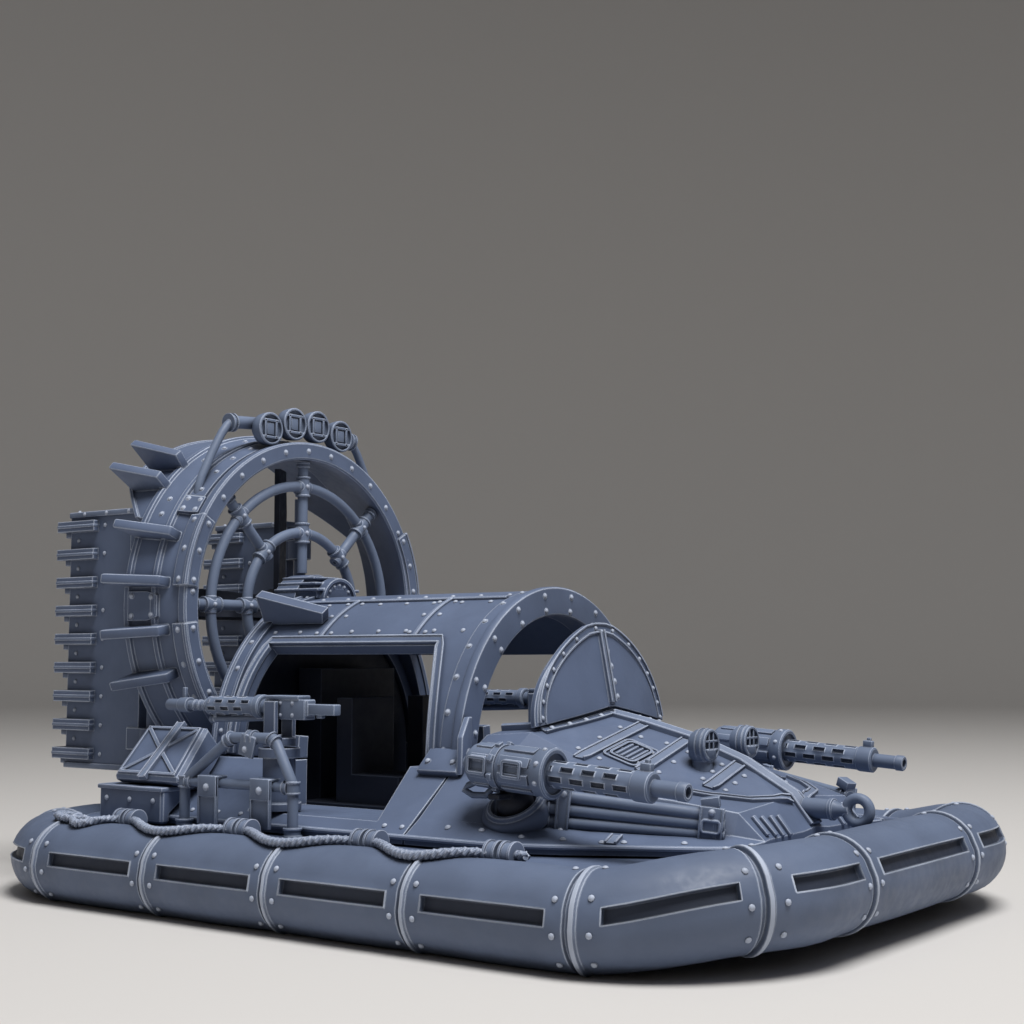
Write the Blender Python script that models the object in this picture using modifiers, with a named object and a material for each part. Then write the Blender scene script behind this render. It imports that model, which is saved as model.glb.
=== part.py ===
"""A tabletop hovercraft miniature: a ring skirt, a riveted hull and cabin, a ducted fan, rudders and four guns.

Axes: +X to the bow, +Y to port, +Z up. Places below are millimetres from the middle of the skirt ring,
on the floor. The helpers turn them into metres, and move them MIDDLE_X forward, because the rudders
overhang the stern and the finished origin is under the middle of everything.
"""
import math

import bmesh
import bpy
from mathutils import Matrix, Vector

MM = 0.001
GAP = 0.3

# skirt ring
HULL_LENGTH = 155.0
HULL_WIDTH = 110.0
TUBE_RADIUS = 6.6
TUBE_HEIGHT = 6.4
BOW_RISE = 3.0
RISE_START = 49.5
CORNER_RADIUS = 28.5
CORNER_STEPS = 6
SEAM_X = [-26.2, -0.2, 25.8]
SEAM_Y = [-18.8, 18.8]
# degrees round each corner, counted from the long side
CORNER_SEAMS = [7.9, 59.2]
# offset from a seam's middle as a share of SEAM_HALF, and how much the ring swells there
SEAM_SWELL = [(-1.0, 1.0), (-0.6, 1.06), (0.6, 1.06), (1.0, 1.0)]
SEAM_HALF = 0.9

# deck and lower hull
DECK_BOTTOM = 5.5
DECK_TOP = 12.4
DECK_HALF_LENGTH = 66.5
DECK_HALF_WIDTH = 44.6
DECK_CORNER = 20.0
BASE_Z = DECK_TOP + GAP
CHINE_Y = 40.0
CHINE_Z = 13.9
SHOULDER_Y = 28.2
SHOULDER_Z = 23.0
WALL_Y = 24.4
HULL_AFT = -52.0
DOOR_AFT = -21.0
DOOR_FORE = 3.0
DOOR_SILL = 15.5
DOOR_SLANT = 3.5

# nose
NOSE_AFT = 13.5
NOSE_TIP = 60.0
# x, base half-width, knee y, knee z, shoulder y, shoulder z, edge y, edge z, ridge z
NOSE_SECTIONS = [
    (NOSE_AFT, 40.0, 36.5, 16.2, 28.2, 23.0, 20.0, 27.8, 30.4),
    (21.5, 40.0, 36.5, 16.2, 28.2, 22.8, 19.4, 28.4, 31.4),
    (31.0, 40.0, 34.0, 15.9, 28.2, 21.8, 20.0, 24.8, 29.4),
    (39.0, 36.6, 28.4, 15.5, 26.3, 21.0, 15.5, 22.9, 27.4),
    (48.0, 31.6, 23.8, 15.2, 21.8, 19.6, 11.2, 20.7, 24.1),
    (56.5, 26.9, 19.4, 14.9, 17.8, 18.0, 5.0, 18.9, 19.3),
    (NOSE_TIP, 24.0, 16.5, 14.1, 15.0, 14.3, 4.0, 14.5, 14.9),
]
RIDGE_HALF = 1.7
RIDGE_HEIGHT = 0.8
RIDGE_BEVEL = 0.3
RIDGE_FORE = 0.45
WELL_HALF = 15.0
WELL_FORE = 19.0
WELL_FLOOR = 17.5

# cabin
CABIN_AFT = -37.7
CABIN_FORE = 9.3
ARCH_HALF = 26.5
ARCH_BASE = 23.3
ARCH_TOP = 51.2
SHELL = 2.2
ROOF_SPLIT = 43.4
WINDOW_AFT = -33.6
WINDOW_FORE = 5.2
WINDOW_TOP = 41.9
WINDOW_BOTTOM = 27.0
FLANGE = 0.6
FLANGE_DEPTH = 4.2
FLANGE_WIDTH = 3.6
BULKHEAD_INSET = 0.6

# wedges on the roof: degrees up the vault, then x and height above the vault
ROOF_FIN_TURN = 55.0
ROOF_FIN = [(-25.5, -0.5), (-25.5, 0.5), (-24.5, 2.4), (-38.5, 6.4), (-39.7, 0.5), (-39.7, -0.5)]
ROOF_FIN_THICK = 1.9

# towing eye on the stem: x of the ring's middle, and its height
TOW_EYE = (66.8, 18.1)
TOW_RING = 2.1
TOW_WIRE = 0.7
TOW_CONE = (58.6, 1.9, 1.1)

# windscreen shield
SHIELD_X = 23.6
SHIELD_HALF = 18.8
SHIELD_TOP = 45.3
SHIELD_BULGE = 1.9
SHIELD_LEAN = 2.6
SHIELD_THICK = 1.3
SHIELD_FOOT = 31.9
SHIELD_FOOT_DROP = 2.9

# duct and fan: x, and the radius round the shaft
DUCT_Z = 49.4
DUCT_FORE = -43.8
DUCT_INNER = 28.2
DUCT_FLANGE = 31.5
FLANGE_AFT = -45.8
DUCT_PROFILE = [
    (-57.5, 31.4), (-46.0, DUCT_INNER), (DUCT_FORE, DUCT_INNER), (DUCT_FORE, DUCT_FLANGE), (FLANGE_AFT, DUCT_FLANGE),
    (FLANGE_AFT, 30.7), (-57.0, 33.4), (-57.5, 33.0),
]
# the hood over the outlet: x, inner and outer radius at its root and its lip, and degrees from the top
HOOD_ROOT = (-56.5, 31.5, 33.1)
HOOD_LIP = (-68.0, 31.9, 33.6)
HOOD_SQUARE = 46.0
HOOD_END = 62.0
HOOD_END_X = -57.3
HOOD_STEP = 4.0
# fins round the duct: degrees from the top, then x and radius
FINS = [
    ([39.0, 49.0], [(-56.0, 32.8), (-56.0, 36.3), (-66.5, 39.7), (-64.8, 32.9)]),
    ([67.5, 83.2, 98.4, 112.8], [(-48.3, 30.9), (-48.3, 33.8), (-59.0, 38.0), (-57.2, 32.8)]),
]
FIN_THICK = 1.7
# the cradle is cut to this cone: x and radius at each end
CRADLE_CONE = [(-45.8, 30.9), (-58.6, 33.9)]
CRADLE_X = (-58.5, -46.0)
CRADLE_HALF = 24.0
CRADLE_TOP = 17.0
SADDLE_X = (-57.0, -48.0)
SADDLE_Y = (13.0, 19.0)
SADDLE_TOP = 28.0
GUARD_RINGS = [23.2, 14.3]
GUARD_TUBE = 1.0
GUARD_X = -46.3
GUARD_SPOKES = 8
GUARD_COLLAR = (1.9, 0.35)
NACELLE_RADIUS = 6.3
NACELLE_FORE = -33.4
NACELLE_AFT = -48.4
FAN_X = -52.3
FAN_HUB = [(-57.0, 0.0), (-55.5, 2.2), (-54.0, 3.8), (-48.9, 3.8), (-48.9, 0.0)]
BLADES = 4
BLADE_TWIST = 32.0
BLADE_THICK = 1.1
# across the blade, and the distance from the shaft
BLADE_OUTLINE = [(-2.6, 2.5), (2.6, 2.5), (3.4, 18.8), (2.4, 26.8), (-2.8, 26.8)]

# rudders
RUDDER_Y = 19.3
RUDDER_POST_X = -65.6
RUDDER_FORE = -68.4
RUDDER_AFT = -89.5
RUDDER_TIP = -92.2
RUDDER_BOTTOM = 18.8
RUDDER_TOP = 68.3
RUDDER_THICK = 2.2
TEETH = 9
TOOTH = (11.0, 4.6, 2.1)
ARM_FROM_ENDS = (4.0, 8.0)
ARM_HEIGHT = 4.0
ARM_HALF = 1.4
ARM_REACH = 3.0
POST_RADIUS = 1.2
POST_TOP = 72.9
POST_FOOT = (1.6, 3.0, 3.5)
KNUCKLE_RADIUS = 2.3

# roof lamps, on a bar bent from each side of the duct, and headlights
LAMP_RADIUS = 3.1
LAMP_X = (-49.4, -45.3)
LAMP_PLACES = [(-9.65, 83.1), (-3.2, 84.4), (3.2, 84.4), (9.65, 83.1)]
BAR_RADIUS = 1.1
BAR_SIDE = [(-49.2, 24.5, 69.9), (-49.2, 22.2, 74.6), (-49.2, 19.8, 79.1), (-49.2, 16.8, 83.1), (-49.2, 12.0, 83.8)]
BAR_MIDDLE = [(-49.2, 6.0, 84.2), (-49.2, 0.0, 84.4), (-49.2, -6.0, 84.2)]
HEADLIGHT = (44.2, 6.5, 26.6)
HEADLIGHT_RADIUS = 2.5
HEADLIGHT_BACK = -1.2
HEADLIGHT_FRONT = 1.8
STAND_RADIUS = 2.0

# bow guns: pivot of the mount, then stations along the barrel (distance from the pivot, radius)
BOW_PIVOT = (28.5, 33.0, 18.9)
BOW_GUN_Y = 36.0
BOW_GUN_Z = 24.3
BOW_GUN_DROP = 4.0
BOW_GUN_PROFILE = [
    (-6.6, 0.0), (-6.6, 1.0), (-5.6, 1.1), (-5.4, 2.2), (-4.4, 3.0), (7.1, 3.0), (7.1, 3.6), (9.2, 3.6),
    (9.2, 1.9), (22.8, 1.9), (22.8, 2.1), (25.3, 2.1), (25.3, 1.2), (30.6, 1.2), (30.6, 0.0),
]
BALL_RADIUS = 2.8
BALL_POCKET = 3.2
NECK_RADIUS = 1.3
NECK_END = (-0.8, -4.3)
FORK = (1.0, 2.2, -4.5, -3.7)
SOCKET_Y = 32.5
SOCKET_Z = 18.15
SOCKET_LEAN = (0.56, 0.83)
SOCKET_PROFILE = [(0, 3.5), (0, 5.2), (1.3, 5.2), (1.8, 4.4), (1.8, 3.5)]

# pipes clamped along the nose's flanks: x, y and z of each end, and the drop from one pipe to the next
PIPE_FORE = (55.6, 21.0, 17.6, 1.3)
PIPE_AFT = (33.6, 31.2, 20.4, 1.9)
PIPE_RADIUS = 1.0
# each clamp's x, y, foot and top
CLAMPS = [(34.4, 30.9, 15.4, 21.4), (55.0, 21.3, 14.3, 19.0)]
CLAMP_TURN = 25.0
CLAMP_HALF = 0.8
CLAMP_Y = (-1.2, 1.5)

# side guns on the quarters, muzzle aft
SIDE_PIVOT = (-16.0, 36.0, 32.0)
SIDE_GUN_PROFILE = [
    (-26.2, 0.0), (-26.2, 0.9), (-23.0, 0.9), (-23.0, 1.3), (-20.8, 1.3), (-20.8, 0.75), (-15.8, 0.75),
    (-15.8, 1.6), (-4.6, 1.6), (-4.6, 2.0), (-3.4, 2.0), (-3.4, 1.2), (-1.2, 1.2), (-1.2, 0.0),
]
PEDESTAL_TOP = 25.6
COLUMN_RADIUS = 2.6
COLUMN_FOOT = (3.6, 1.2)
COLUMN_HEAD = (3.3, 1.6)
CHEEK_Y = 2.0
CHEEK_HALF = (1.2, 0.4)
CHEEK_RISE = 1.0
# low and high corner of each block, from the pivot
RECEIVER = ((-2.2, -1.3, -1.9), (6.6, 1.3, 1.9))
STOCK = ((6.0, -0.9, -1.6), (12.5, 0.9, 0.9))
GAS_LUG = ((-15.6, -0.5, -2.6), (-14.2, 0.5, 0.0))
GAS_TUBE = ((-15.4, 0.0, -2.2), (-1.0, 0.0, -1.6))
GAS_RADIUS = 0.65

# side rails: feet and the raised bow, all in one upright plane
RAIL_Y = 42.0
RAIL_RADIUS = 0.95
LOW_RAIL_RADIUS = 0.8
RAIL_AFT = -31.2
RAIL_FORE = -7.0
RAIL_LOW = 20.0
RAIL_BOW = [(RAIL_AFT, RAIL_LOW), (-20.4, 27.4), (-11.2, 27.4), (RAIL_FORE, RAIL_LOW)]
# folded straps hooked over the low rail: x of the middles, then half width, thickness, foot and top
STRAPS_X = [-24.6, -12.8]
STRAP = (2.2, 0.55, 13.4, 21.2)

# stores on the quarters: the riveted box, and the fuel can that leans on the flank above it
STORES_LOW = (-52.3, 33.6)
STORES_HIGH = (-36.5, 42.2)
STORES_TOP = 18.6
# the can's outer face: x and the distance up its slope
CAN_FACE = [(-49.8, 0.0), (-33.6, 0.0), (-36.9, 12.6), (-51.9, 12.6)]
CAN_FOOT = (41.5, 20.0)
CAN_SLOPE = 41.5
CAN_THICK = 6.0

# rope along the top of the skirt ring
SLEEVES_X = [-40.0, -14.0, 12.0, 36.0]
ROPE_Y = 45.9
ROPE_Z = 13.9
ROPE_RADIUS = 0.8
ROPE_SAG = 1.9
ROPE_DROP = 0.35
ROPE_AFT = -54.0
ROPE_TAIL = 4.0
SLEEVE_PROFILE = [(-2.6, 0), (-2.6, 2.0), (-1.6, 2.4), (-0.6, 1.9), (0.6, 1.9), (1.6, 2.4), (2.6, 2.0), (2.6, 0)]

# seats and engine block inside the cabin: low and high corners, port side of a mirrored pair where y > 0
BENCH = ((-31.0, -16.0, BASE_Z), (-6.0, 16.0, 15.0))
SEAT = ((-20.0, 4.0, 14.5), (-9.0, 15.0, 20.0))
SEAT_BACK = ((-23.0, 4.0, 14.5), (-19.5, 15.0, 33.0))
ENGINE = ((-37.0, -10.0, BASE_Z), (-31.5, 10.0, 38.0))

# how far the middle of the whole object lies aft of the middle of the ring
SEAM_PROUD = 0.32
MIDDLE_X = (-RUDDER_TIP - HULL_LENGTH / 2 - SEAM_PROUD) / 2

PARTS = None
TOOLS = None


def clear_scene():
    for obj in list(bpy.data.objects):
        bpy.data.objects.remove(obj, do_unlink=True)


def make_collections():
    global PARTS, TOOLS
    PARTS = bpy.data.collections.new("Hovercraft")
    TOOLS = bpy.data.collections.new("Cutters")
    TOOLS.hide_render = True
    bpy.context.scene.collection.children.link(PARTS)
    bpy.context.scene.collection.children.link(TOOLS)


def add_mesh(name, bm):
    """Turn a bmesh drawn in millimetres into an object in metres."""
    bmesh.ops.translate(bm, vec=(MIDDLE_X, 0, 0), verts=bm.verts)
    bmesh.ops.scale(bm, vec=(MM, MM, MM), verts=bm.verts)
    bmesh.ops.recalc_face_normals(bm, faces=bm.faces)
    mesh = bpy.data.meshes.new(name)
    bm.to_mesh(mesh)
    bm.free()
    obj = bpy.data.objects.new(name, mesh)
    PARTS.objects.link(obj)
    return obj


def box(name, low, high, turn=None, about=(0, 0, 0)):
    bm = bmesh.new()
    bmesh.ops.create_cube(bm, size=1.0)
    size = Vector(high) - Vector(low)
    middle = (Vector(high) + Vector(low)) / 2
    bmesh.ops.scale(bm, vec=size, verts=bm.verts)
    bmesh.ops.translate(bm, vec=middle, verts=bm.verts)
    if turn:
        bmesh.ops.rotate(bm, cent=about, matrix=turn, verts=bm.verts)
    return add_mesh(name, bm)


def rod(name, start, end, radius, end_radius=None, sides=24):
    """A cylinder or cone from one point to another."""
    bm = bmesh.new()
    start, end = Vector(start), Vector(end)
    length = (end - start).length
    far = radius if end_radius is None else end_radius
    bmesh.ops.create_cone(bm, cap_ends=True, segments=sides, radius1=radius, radius2=far, depth=length)
    turn = (end - start).to_track_quat("Z", "Y").to_matrix()
    bmesh.ops.rotate(bm, cent=(0, 0, 0), matrix=turn, verts=bm.verts)
    bmesh.ops.translate(bm, vec=(start + end) / 2, verts=bm.verts)
    return smooth(add_mesh(name, bm))


def ball(name, centre, radius, rings=14):
    bm = bmesh.new()
    bmesh.ops.create_uvsphere(bm, u_segments=rings * 2, v_segments=rings, radius=radius)
    bmesh.ops.translate(bm, vec=centre, verts=bm.verts)
    return smooth(add_mesh(name, bm))


def turned(name, profile, origin, axis, steps=32):
    """Spin (distance along the axis, radius) pairs round a line through origin."""
    bm = bmesh.new()
    verts = [bm.verts.new((radius, 0, along)) for along, radius in profile]
    edges = [bm.edges.new(pair) for pair in zip(verts, verts[1:])]
    if profile[0][1] and profile[-1][1]:
        edges.append(bm.edges.new((verts[-1], verts[0])))
    bmesh.ops.spin(
        bm, geom=verts + edges, cent=(0, 0, 0), axis=(0, 0, 1), angle=math.tau, steps=steps, use_merge=True
    )
    bmesh.ops.remove_doubles(bm, verts=bm.verts, dist=0.001)
    turn = Vector(axis).to_track_quat("Z", "Y").to_matrix()
    bmesh.ops.rotate(bm, cent=(0, 0, 0), matrix=turn, verts=bm.verts)
    bmesh.ops.translate(bm, vec=origin, verts=bm.verts)
    return smooth(add_mesh(name, bm))


def tube(name, points, radius, closed=False, swell=None, sides=4):
    """A round tube along points, as a bevelled curve made into a mesh."""
    curve = bpy.data.curves.new(name + "_path", "CURVE")
    curve.dimensions = "3D"
    curve.bevel_depth = radius * MM
    curve.bevel_resolution = sides
    curve.use_fill_caps = True
    spline = curve.splines.new("POLY")
    spline.points.add(len(points) - 1)
    spline.use_cyclic_u = closed
    for index, (point, place) in enumerate(zip(spline.points, points)):
        x, y, z = place
        point.co = ((x + MIDDLE_X) * MM, y * MM, z * MM, 1.0)
        point.radius = swell[index] if swell else 1.0
    path = bpy.data.objects.new(name + "_path", curve)
    mesh = bpy.data.meshes.new_from_object(path)
    mesh.name = name
    bpy.data.objects.remove(path)
    bpy.data.curves.remove(curve)
    bm = bmesh.new()
    bm.from_mesh(mesh)
    bmesh.ops.remove_doubles(bm, verts=bm.verts, dist=1e-6)
    bmesh.ops.recalc_face_normals(bm, faces=bm.faces)
    bm.to_mesh(mesh)
    bm.free()
    obj = bpy.data.objects.new(name, mesh)
    PARTS.objects.link(obj)
    return smooth(obj)


def prism(name, outline, start, end, plane="YZ"):
    """Push a flat outline from start to end along the axis that the plane leaves free."""
    place = {
        "YZ": lambda a, b, c: (c, a, b),
        "XZ": lambda a, b, c: (a, c, b),
        "XY": lambda a, b, c: (a, b, c),
    }[plane]
    bm = bmesh.new()
    face = bm.faces.new([bm.verts.new(place(a, b, start)) for a, b in outline])
    pushed = bmesh.ops.extrude_face_region(bm, geom=[face])["geom"]
    moved = [item for item in pushed if isinstance(item, bmesh.types.BMVert)]
    step = Vector(place(0, 0, end - start))
    bmesh.ops.translate(bm, vec=step, verts=moved)
    return add_mesh(name, bm)


def loft(name, sections):
    """Bridge closed sections with the same number of points, then cap both ends."""
    bm = bmesh.new()
    loops = []
    for section in sections:
        verts = [bm.verts.new(point) for point in section]
        loops.append([bm.edges.new((a, b)) for a, b in zip(verts, verts[1:] + verts[:1])])
    for first, second in zip(loops, loops[1:]):
        bmesh.ops.bridge_loops(bm, edges=first + second)
    bmesh.ops.holes_fill(bm, edges=bm.edges, sides=0)
    bmesh.ops.triangulate(bm, faces=bm.faces, quad_method="SHORT_EDGE")
    return add_mesh(name, bm)


def slab(name, outline, thickness):
    """Push an outline of points in space by a vector."""
    bm = bmesh.new()
    face = bm.faces.new([bm.verts.new(point) for point in outline])
    pushed = bmesh.ops.extrude_face_region(bm, geom=[face])["geom"]
    moved = [item for item in pushed if isinstance(item, bmesh.types.BMVert)]
    bmesh.ops.translate(bm, vec=thickness, verts=moved)
    return add_mesh(name, bm)


def smooth(obj, angle=40):
    mesh = obj.data
    mesh.shade_smooth()
    mesh.set_sharp_from_angle(angle=math.radians(angle))
    return obj


def combine(base, others, operation):
    """One Boolean for a whole group of operands, which stay hidden in a collection of their own."""
    group = bpy.data.collections.new(base.name + " " + operation.lower())
    TOOLS.children.link(group)
    for other in others:
        PARTS.objects.unlink(other)
        group.objects.link(other)
        other.hide_render = True
        other.display_type = "WIRE"
    modifier = base.modifiers.new(operation.title(), "BOOLEAN")
    modifier.operation = operation
    modifier.solver = "EXACT"
    modifier.operand_type = "COLLECTION"
    modifier.collection = group
    return base


def fuse(name, pieces):
    base = combine(pieces[0], pieces[1:], "UNION")
    base.name = name
    base.data.name = name
    return base


def cut(base, tools):
    return combine(base, tools, "DIFFERENCE")


def soften(obj, width, segments=1):
    bevel = obj.modifiers.new("Edges", "BEVEL")
    bevel.width = width * MM
    bevel.segments = segments
    bevel.limit_method = "ANGLE"
    bevel.angle_limit = math.radians(40)
    return obj


def put_origin(obj, place):
    """Move an object's origin to a point on its joint's axis without moving its shape."""
    place = (Vector(place) + Vector((MIDDLE_X, 0, 0))) * MM
    obj.data.transform(Matrix.Translation(-place))
    obj.location = place
    return obj


def paint(obj, shade=1.0):
    """Unpainted blue-grey resin; shade darkens what lies deep in the model."""
    material = bpy.data.materials.new(obj.name + "_resin")
    material.use_nodes = True
    shader = material.node_tree.nodes["Principled BSDF"]
    shader.inputs["Base Color"].default_value = (0.17 * shade, 0.21 * shade, 0.32 * shade, 1.0)
    shader.inputs["Roughness"].default_value = 0.55
    shader.inputs["Metallic"].default_value = 0.0
    obj.data.materials.clear()
    obj.data.materials.append(material)
    return obj


def ease(value):
    value = min(1.0, max(0.0, value))
    return value * value * (3 - 2 * value)


def tube_height(x):
    """Centre height of the skirt ring, which lifts round the bow corners."""
    end = HULL_LENGTH / 2 - TUBE_RADIUS
    return TUBE_HEIGHT + BOW_RISE * ease((x - RISE_START) / (end - RISE_START))


def ring_path():
    """Centre line of the skirt ring, with each point's swelling at a seam band."""
    half_length = HULL_LENGTH / 2 - TUBE_RADIUS
    half_width = HULL_WIDTH / 2 - TUBE_RADIUS
    radius = CORNER_RADIUS - TUBE_RADIUS
    points = []

    def run(start, end, seams):
        """One straight stretch, with four points round each seam."""
        start, end = Vector(start), Vector(end)
        along = (end - start).normalized()
        axis = 0 if abs(along.x) > 0.5 else 1
        for seam in sorted(seams, key=lambda value: value * along[axis]):
            middle = start + along * ((seam - start[axis]) * along[axis])
            for offset, swell in SEAM_SWELL:
                points.append((middle + along * offset * SEAM_HALF, swell))

    def corner(side_x, side_y, first, seams):
        """A quarter turn. The points beside a seam are close, so that the tube doesn't fold on its inner side."""
        middle = Vector((side_x * (half_length - radius), side_y * (half_width - radius)))
        half = math.degrees(SEAM_HALF / radius)
        swells = [(-2.0, 1.0), *SEAM_SWELL, (2.0, 1.0)]
        stops = [(seam + offset * half, swell) for seam in seams for offset, swell in swells]
        for step in range(CORNER_STEPS + 1):
            degrees = 90 * step / CORNER_STEPS
            if min(abs(degrees - seam) for seam in seams) > half * 3:
                stops.append((degrees, 1.0))
        for degrees, swell in sorted(stops):
            turn = math.radians(first + degrees)
            points.append((middle + radius * Vector((math.cos(turn), math.sin(turn))), swell))

    from_long = CORNER_SEAMS
    from_short = [90 - seam for seam in CORNER_SEAMS]
    run((-half_length, -half_width), (half_length, -half_width), SEAM_X)
    corner(1, -1, -90, from_long)
    run((half_length, -half_width), (half_length, half_width), SEAM_Y)
    corner(1, 1, 0, from_short)
    run((half_length, half_width), (-half_length, half_width), SEAM_X)
    corner(-1, 1, 90, from_long)
    run((-half_length, half_width), (-half_length, -half_width), SEAM_Y)
    corner(-1, -1, 180, from_short)
    places = [(point.x, point.y, tube_height(point.x)) for point, swell in points]
    return places, [swell for point, swell in points]


def ring_clearance(name):
    """A slightly fatter ring, to cut what rests against the skirt."""
    places, swells = ring_path()
    return tube(name, places, TUBE_RADIUS + GAP, closed=True, swell=swells, sides=6)


def skirt():
    places, swells = ring_path()
    ring = tube("skirt_tube", places, TUBE_RADIUS, closed=True, swell=swells, sides=6)
    floor = box("floor_cut", (-100, -80, -5), (100, 80, 0))
    cut(ring, [floor])
    return paint(ring)


def rounded_outline(half_x, half_y, radius, steps=6):
    corners = [(1, 1, 0), (-1, 1, 90), (-1, -1, 180), (1, -1, 270)]
    outline = []
    for side_x, side_y, first in corners:
        for step in range(steps + 1):
            turn = math.radians(first + 90 * step / steps)
            x = side_x * (half_x - radius) + radius * math.cos(turn)
            y = side_y * (half_y - radius) + radius * math.sin(turn)
            outline.append((x, y))
    return outline


def deck():
    outline = rounded_outline(DECK_HALF_LENGTH, DECK_HALF_WIDTH, DECK_CORNER)
    plate = prism("hull_deck", outline, DECK_BOTTOM, DECK_TOP, "XY")
    cut(plate, [ring_clearance("deck_ring_cut")])
    return paint(plate, 0.9)


def hull_sides():
    outline = [
        (WALL_Y, BASE_Z), (CHINE_Y, BASE_Z), (CHINE_Y, CHINE_Z), (SHOULDER_Y, SHOULDER_Z), (WALL_Y, SHOULDER_Z),
    ]
    for side, word in ((-1, "starboard"), (1, "port")):
        flank = prism("hull_side_" + word, [(side * y, z) for y, z in outline], HULL_AFT, NOSE_AFT - GAP)
        door = [(DOOR_AFT, DOOR_SILL), (DOOR_FORE + DOOR_SLANT, DOOR_SILL), (DOOR_FORE, 30.0), (DOOR_AFT, 30.0)]
        low, high = sorted((side * 20.0, side * 45.0))
        cut(flank, [prism("door_cut_" + word, door, low, high, "XZ")])
        paint(flank)


def nose_section(row):
    x, base, knee_y, knee_z, shoulder_y, shoulder_z, edge_y, edge_z, ridge = row
    half = [(base, BASE_Z), (base, CHINE_Z), (knee_y, knee_z), (shoulder_y, shoulder_z), (edge_y, edge_z)]
    port = [(x, y, z) for y, z in half]
    starboard = [(x, -y, z) for y, z in reversed(half)]
    return port + [(x, 0.0, ridge)] + starboard


def nose_cutter(name, fore=0.0, aside=0.0, up=0.0):
    """The nose grown forward, sideways and up, to cut what rests on it."""
    sections = []
    for row in NOSE_SECTIONS:
        section = nose_section(row)
        sections.append([(x + fore, y + aside * ((y > 0) - (y < 0)), z + up) for x, y, z in section])
    return loft(name, sections)


def nose():
    body = loft("nose_body", [nose_section(row) for row in NOSE_SECTIONS])
    well = box("well_cut", (NOSE_AFT - 2, -WELL_HALF, WELL_FLOOR), (WELL_FORE, WELL_HALF, 40))
    pockets = []
    for side in (-1, 1):
        x, y, z = BOW_PIVOT
        pockets.append(ball("pocket_cut", (x, side * y, z), BALL_POCKET))
    cut(body, [well] + pockets)
    paint(body)


def nose_ridge():
    """The strip along the crown, from the shield to the stem."""
    sections = []
    for row in [row for row in NOSE_SECTIONS if row[0] > WELL_FORE]:
        x, edge_y, edge_z, ridge = row[0], row[6], row[7], row[8]
        side_z = ridge + GAP / 2 - (ridge - edge_z) * RIDGE_HALF / edge_y
        x += RIDGE_FORE
        sections.append([
            (x, RIDGE_HALF, side_z), (x, 0.0, ridge + GAP / 2), (x, -RIDGE_HALF, side_z),
            (x, -RIDGE_HALF + RIDGE_BEVEL, side_z + RIDGE_HEIGHT), (x, 0.0, ridge + RIDGE_HEIGHT),
            (x, RIDGE_HALF - RIDGE_BEVEL, side_z + RIDGE_HEIGHT),
        ])
    strip = loft("nose_ridge", sections)
    cut(strip, [box("ridge_shield_cut", (0, -10, 0), (SHIELD_X + 1.2, 10, 60))])
    paint(strip, 1.1)


def arch_outline(half, height, base, steps=20):
    """Half an ellipse standing on a base line."""
    turns = [math.pi * step / steps for step in range(steps + 1)]
    return [(half * math.cos(turn), base + height * math.sin(turn)) for turn in turns]


def cabin_shell(name, aft, fore, inset, depth):
    """A vaulted shell: the outer arch less the inner one."""
    height = ARCH_TOP - ARCH_BASE
    outer = prism(name, arch_outline(ARCH_HALF - inset, height - inset, ARCH_BASE), aft, fore)
    inner_half = ARCH_HALF - inset - depth
    inner_outline = arch_outline(inner_half, height - inset - depth, ARCH_BASE)
    inner = [(inner_half, ARCH_BASE - 1), *inner_outline, (-inner_half, ARCH_BASE - 1)]
    return cut(outer, [prism(name + "_inside", inner, aft - 1, fore + 1)])


def cabin():
    roof = cabin_shell("cabin_roof", CABIN_AFT, CABIN_FORE, 0, SHELL)
    cut(roof, [box("roof_low_cut", (-60, -40, 0), (40, 40, ROOF_SPLIT + GAP / 2))])
    paint(roof)
    for side, word in ((-1, "starboard"), (1, "port")):
        wall = cabin_shell("cabin_side_" + word, CABIN_AFT, CABIN_FORE, 0, SHELL)
        top = box("side_top_cut", (-60, -40, ROOF_SPLIT - GAP / 2), (40, 40, 60))
        other = box("side_other_cut", (-60, min(0, -side * 50), 0), (40, max(0, -side * 50), 60))
        low, high = sorted((side * 10.0, side * 40.0))
        window = box("window_cut", (WINDOW_AFT, low, WINDOW_BOTTOM), (WINDOW_FORE, high, WINDOW_TOP))
        door = box("doorway_cut", (DOOR_AFT, low, 20.0), (WINDOW_FORE, high, WINDOW_BOTTOM + 1))
        cut(wall, [top, other, window, door])
        paint(wall)


def arches():
    height = ARCH_TOP - ARCH_BASE
    front_aft = CABIN_FORE + GAP
    front = prism("front_arch", arch_outline(ARCH_HALF + FLANGE, height + FLANGE, ARCH_BASE), front_aft, NOSE_AFT - GAP)
    inner = arch_outline(ARCH_HALF - FLANGE_DEPTH, height - FLANGE_DEPTH, ARCH_BASE)
    opening = [(inner[0][0], ARCH_BASE - 2), *inner, (inner[-1][0], ARCH_BASE - 2)]
    cut(front, [prism("front_opening", opening, 0, 20)])
    paint(front, 1.05)
    aft = CABIN_AFT - GAP - FLANGE_WIDTH
    rear = prism("rear_arch", arch_outline(ARCH_HALF + FLANGE, height + FLANGE, ARCH_BASE), aft, CABIN_AFT - GAP)
    cut(rear, [prism("rear_opening", opening, -60, -30)])
    paint(rear, 1.05)
    panel = arch_outline(ARCH_HALF - FLANGE_DEPTH - GAP, height - FLANGE_DEPTH - GAP, ARCH_BASE)
    half = panel[0][0]
    outline = [*panel, (-half, BASE_Z), (half, BASE_Z)]
    bulkhead = prism("rear_bulkhead", outline, aft + BULKHEAD_INSET, CABIN_AFT - GAP - BULKHEAD_INSET)
    paint(bulkhead, 0.8)


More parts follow.
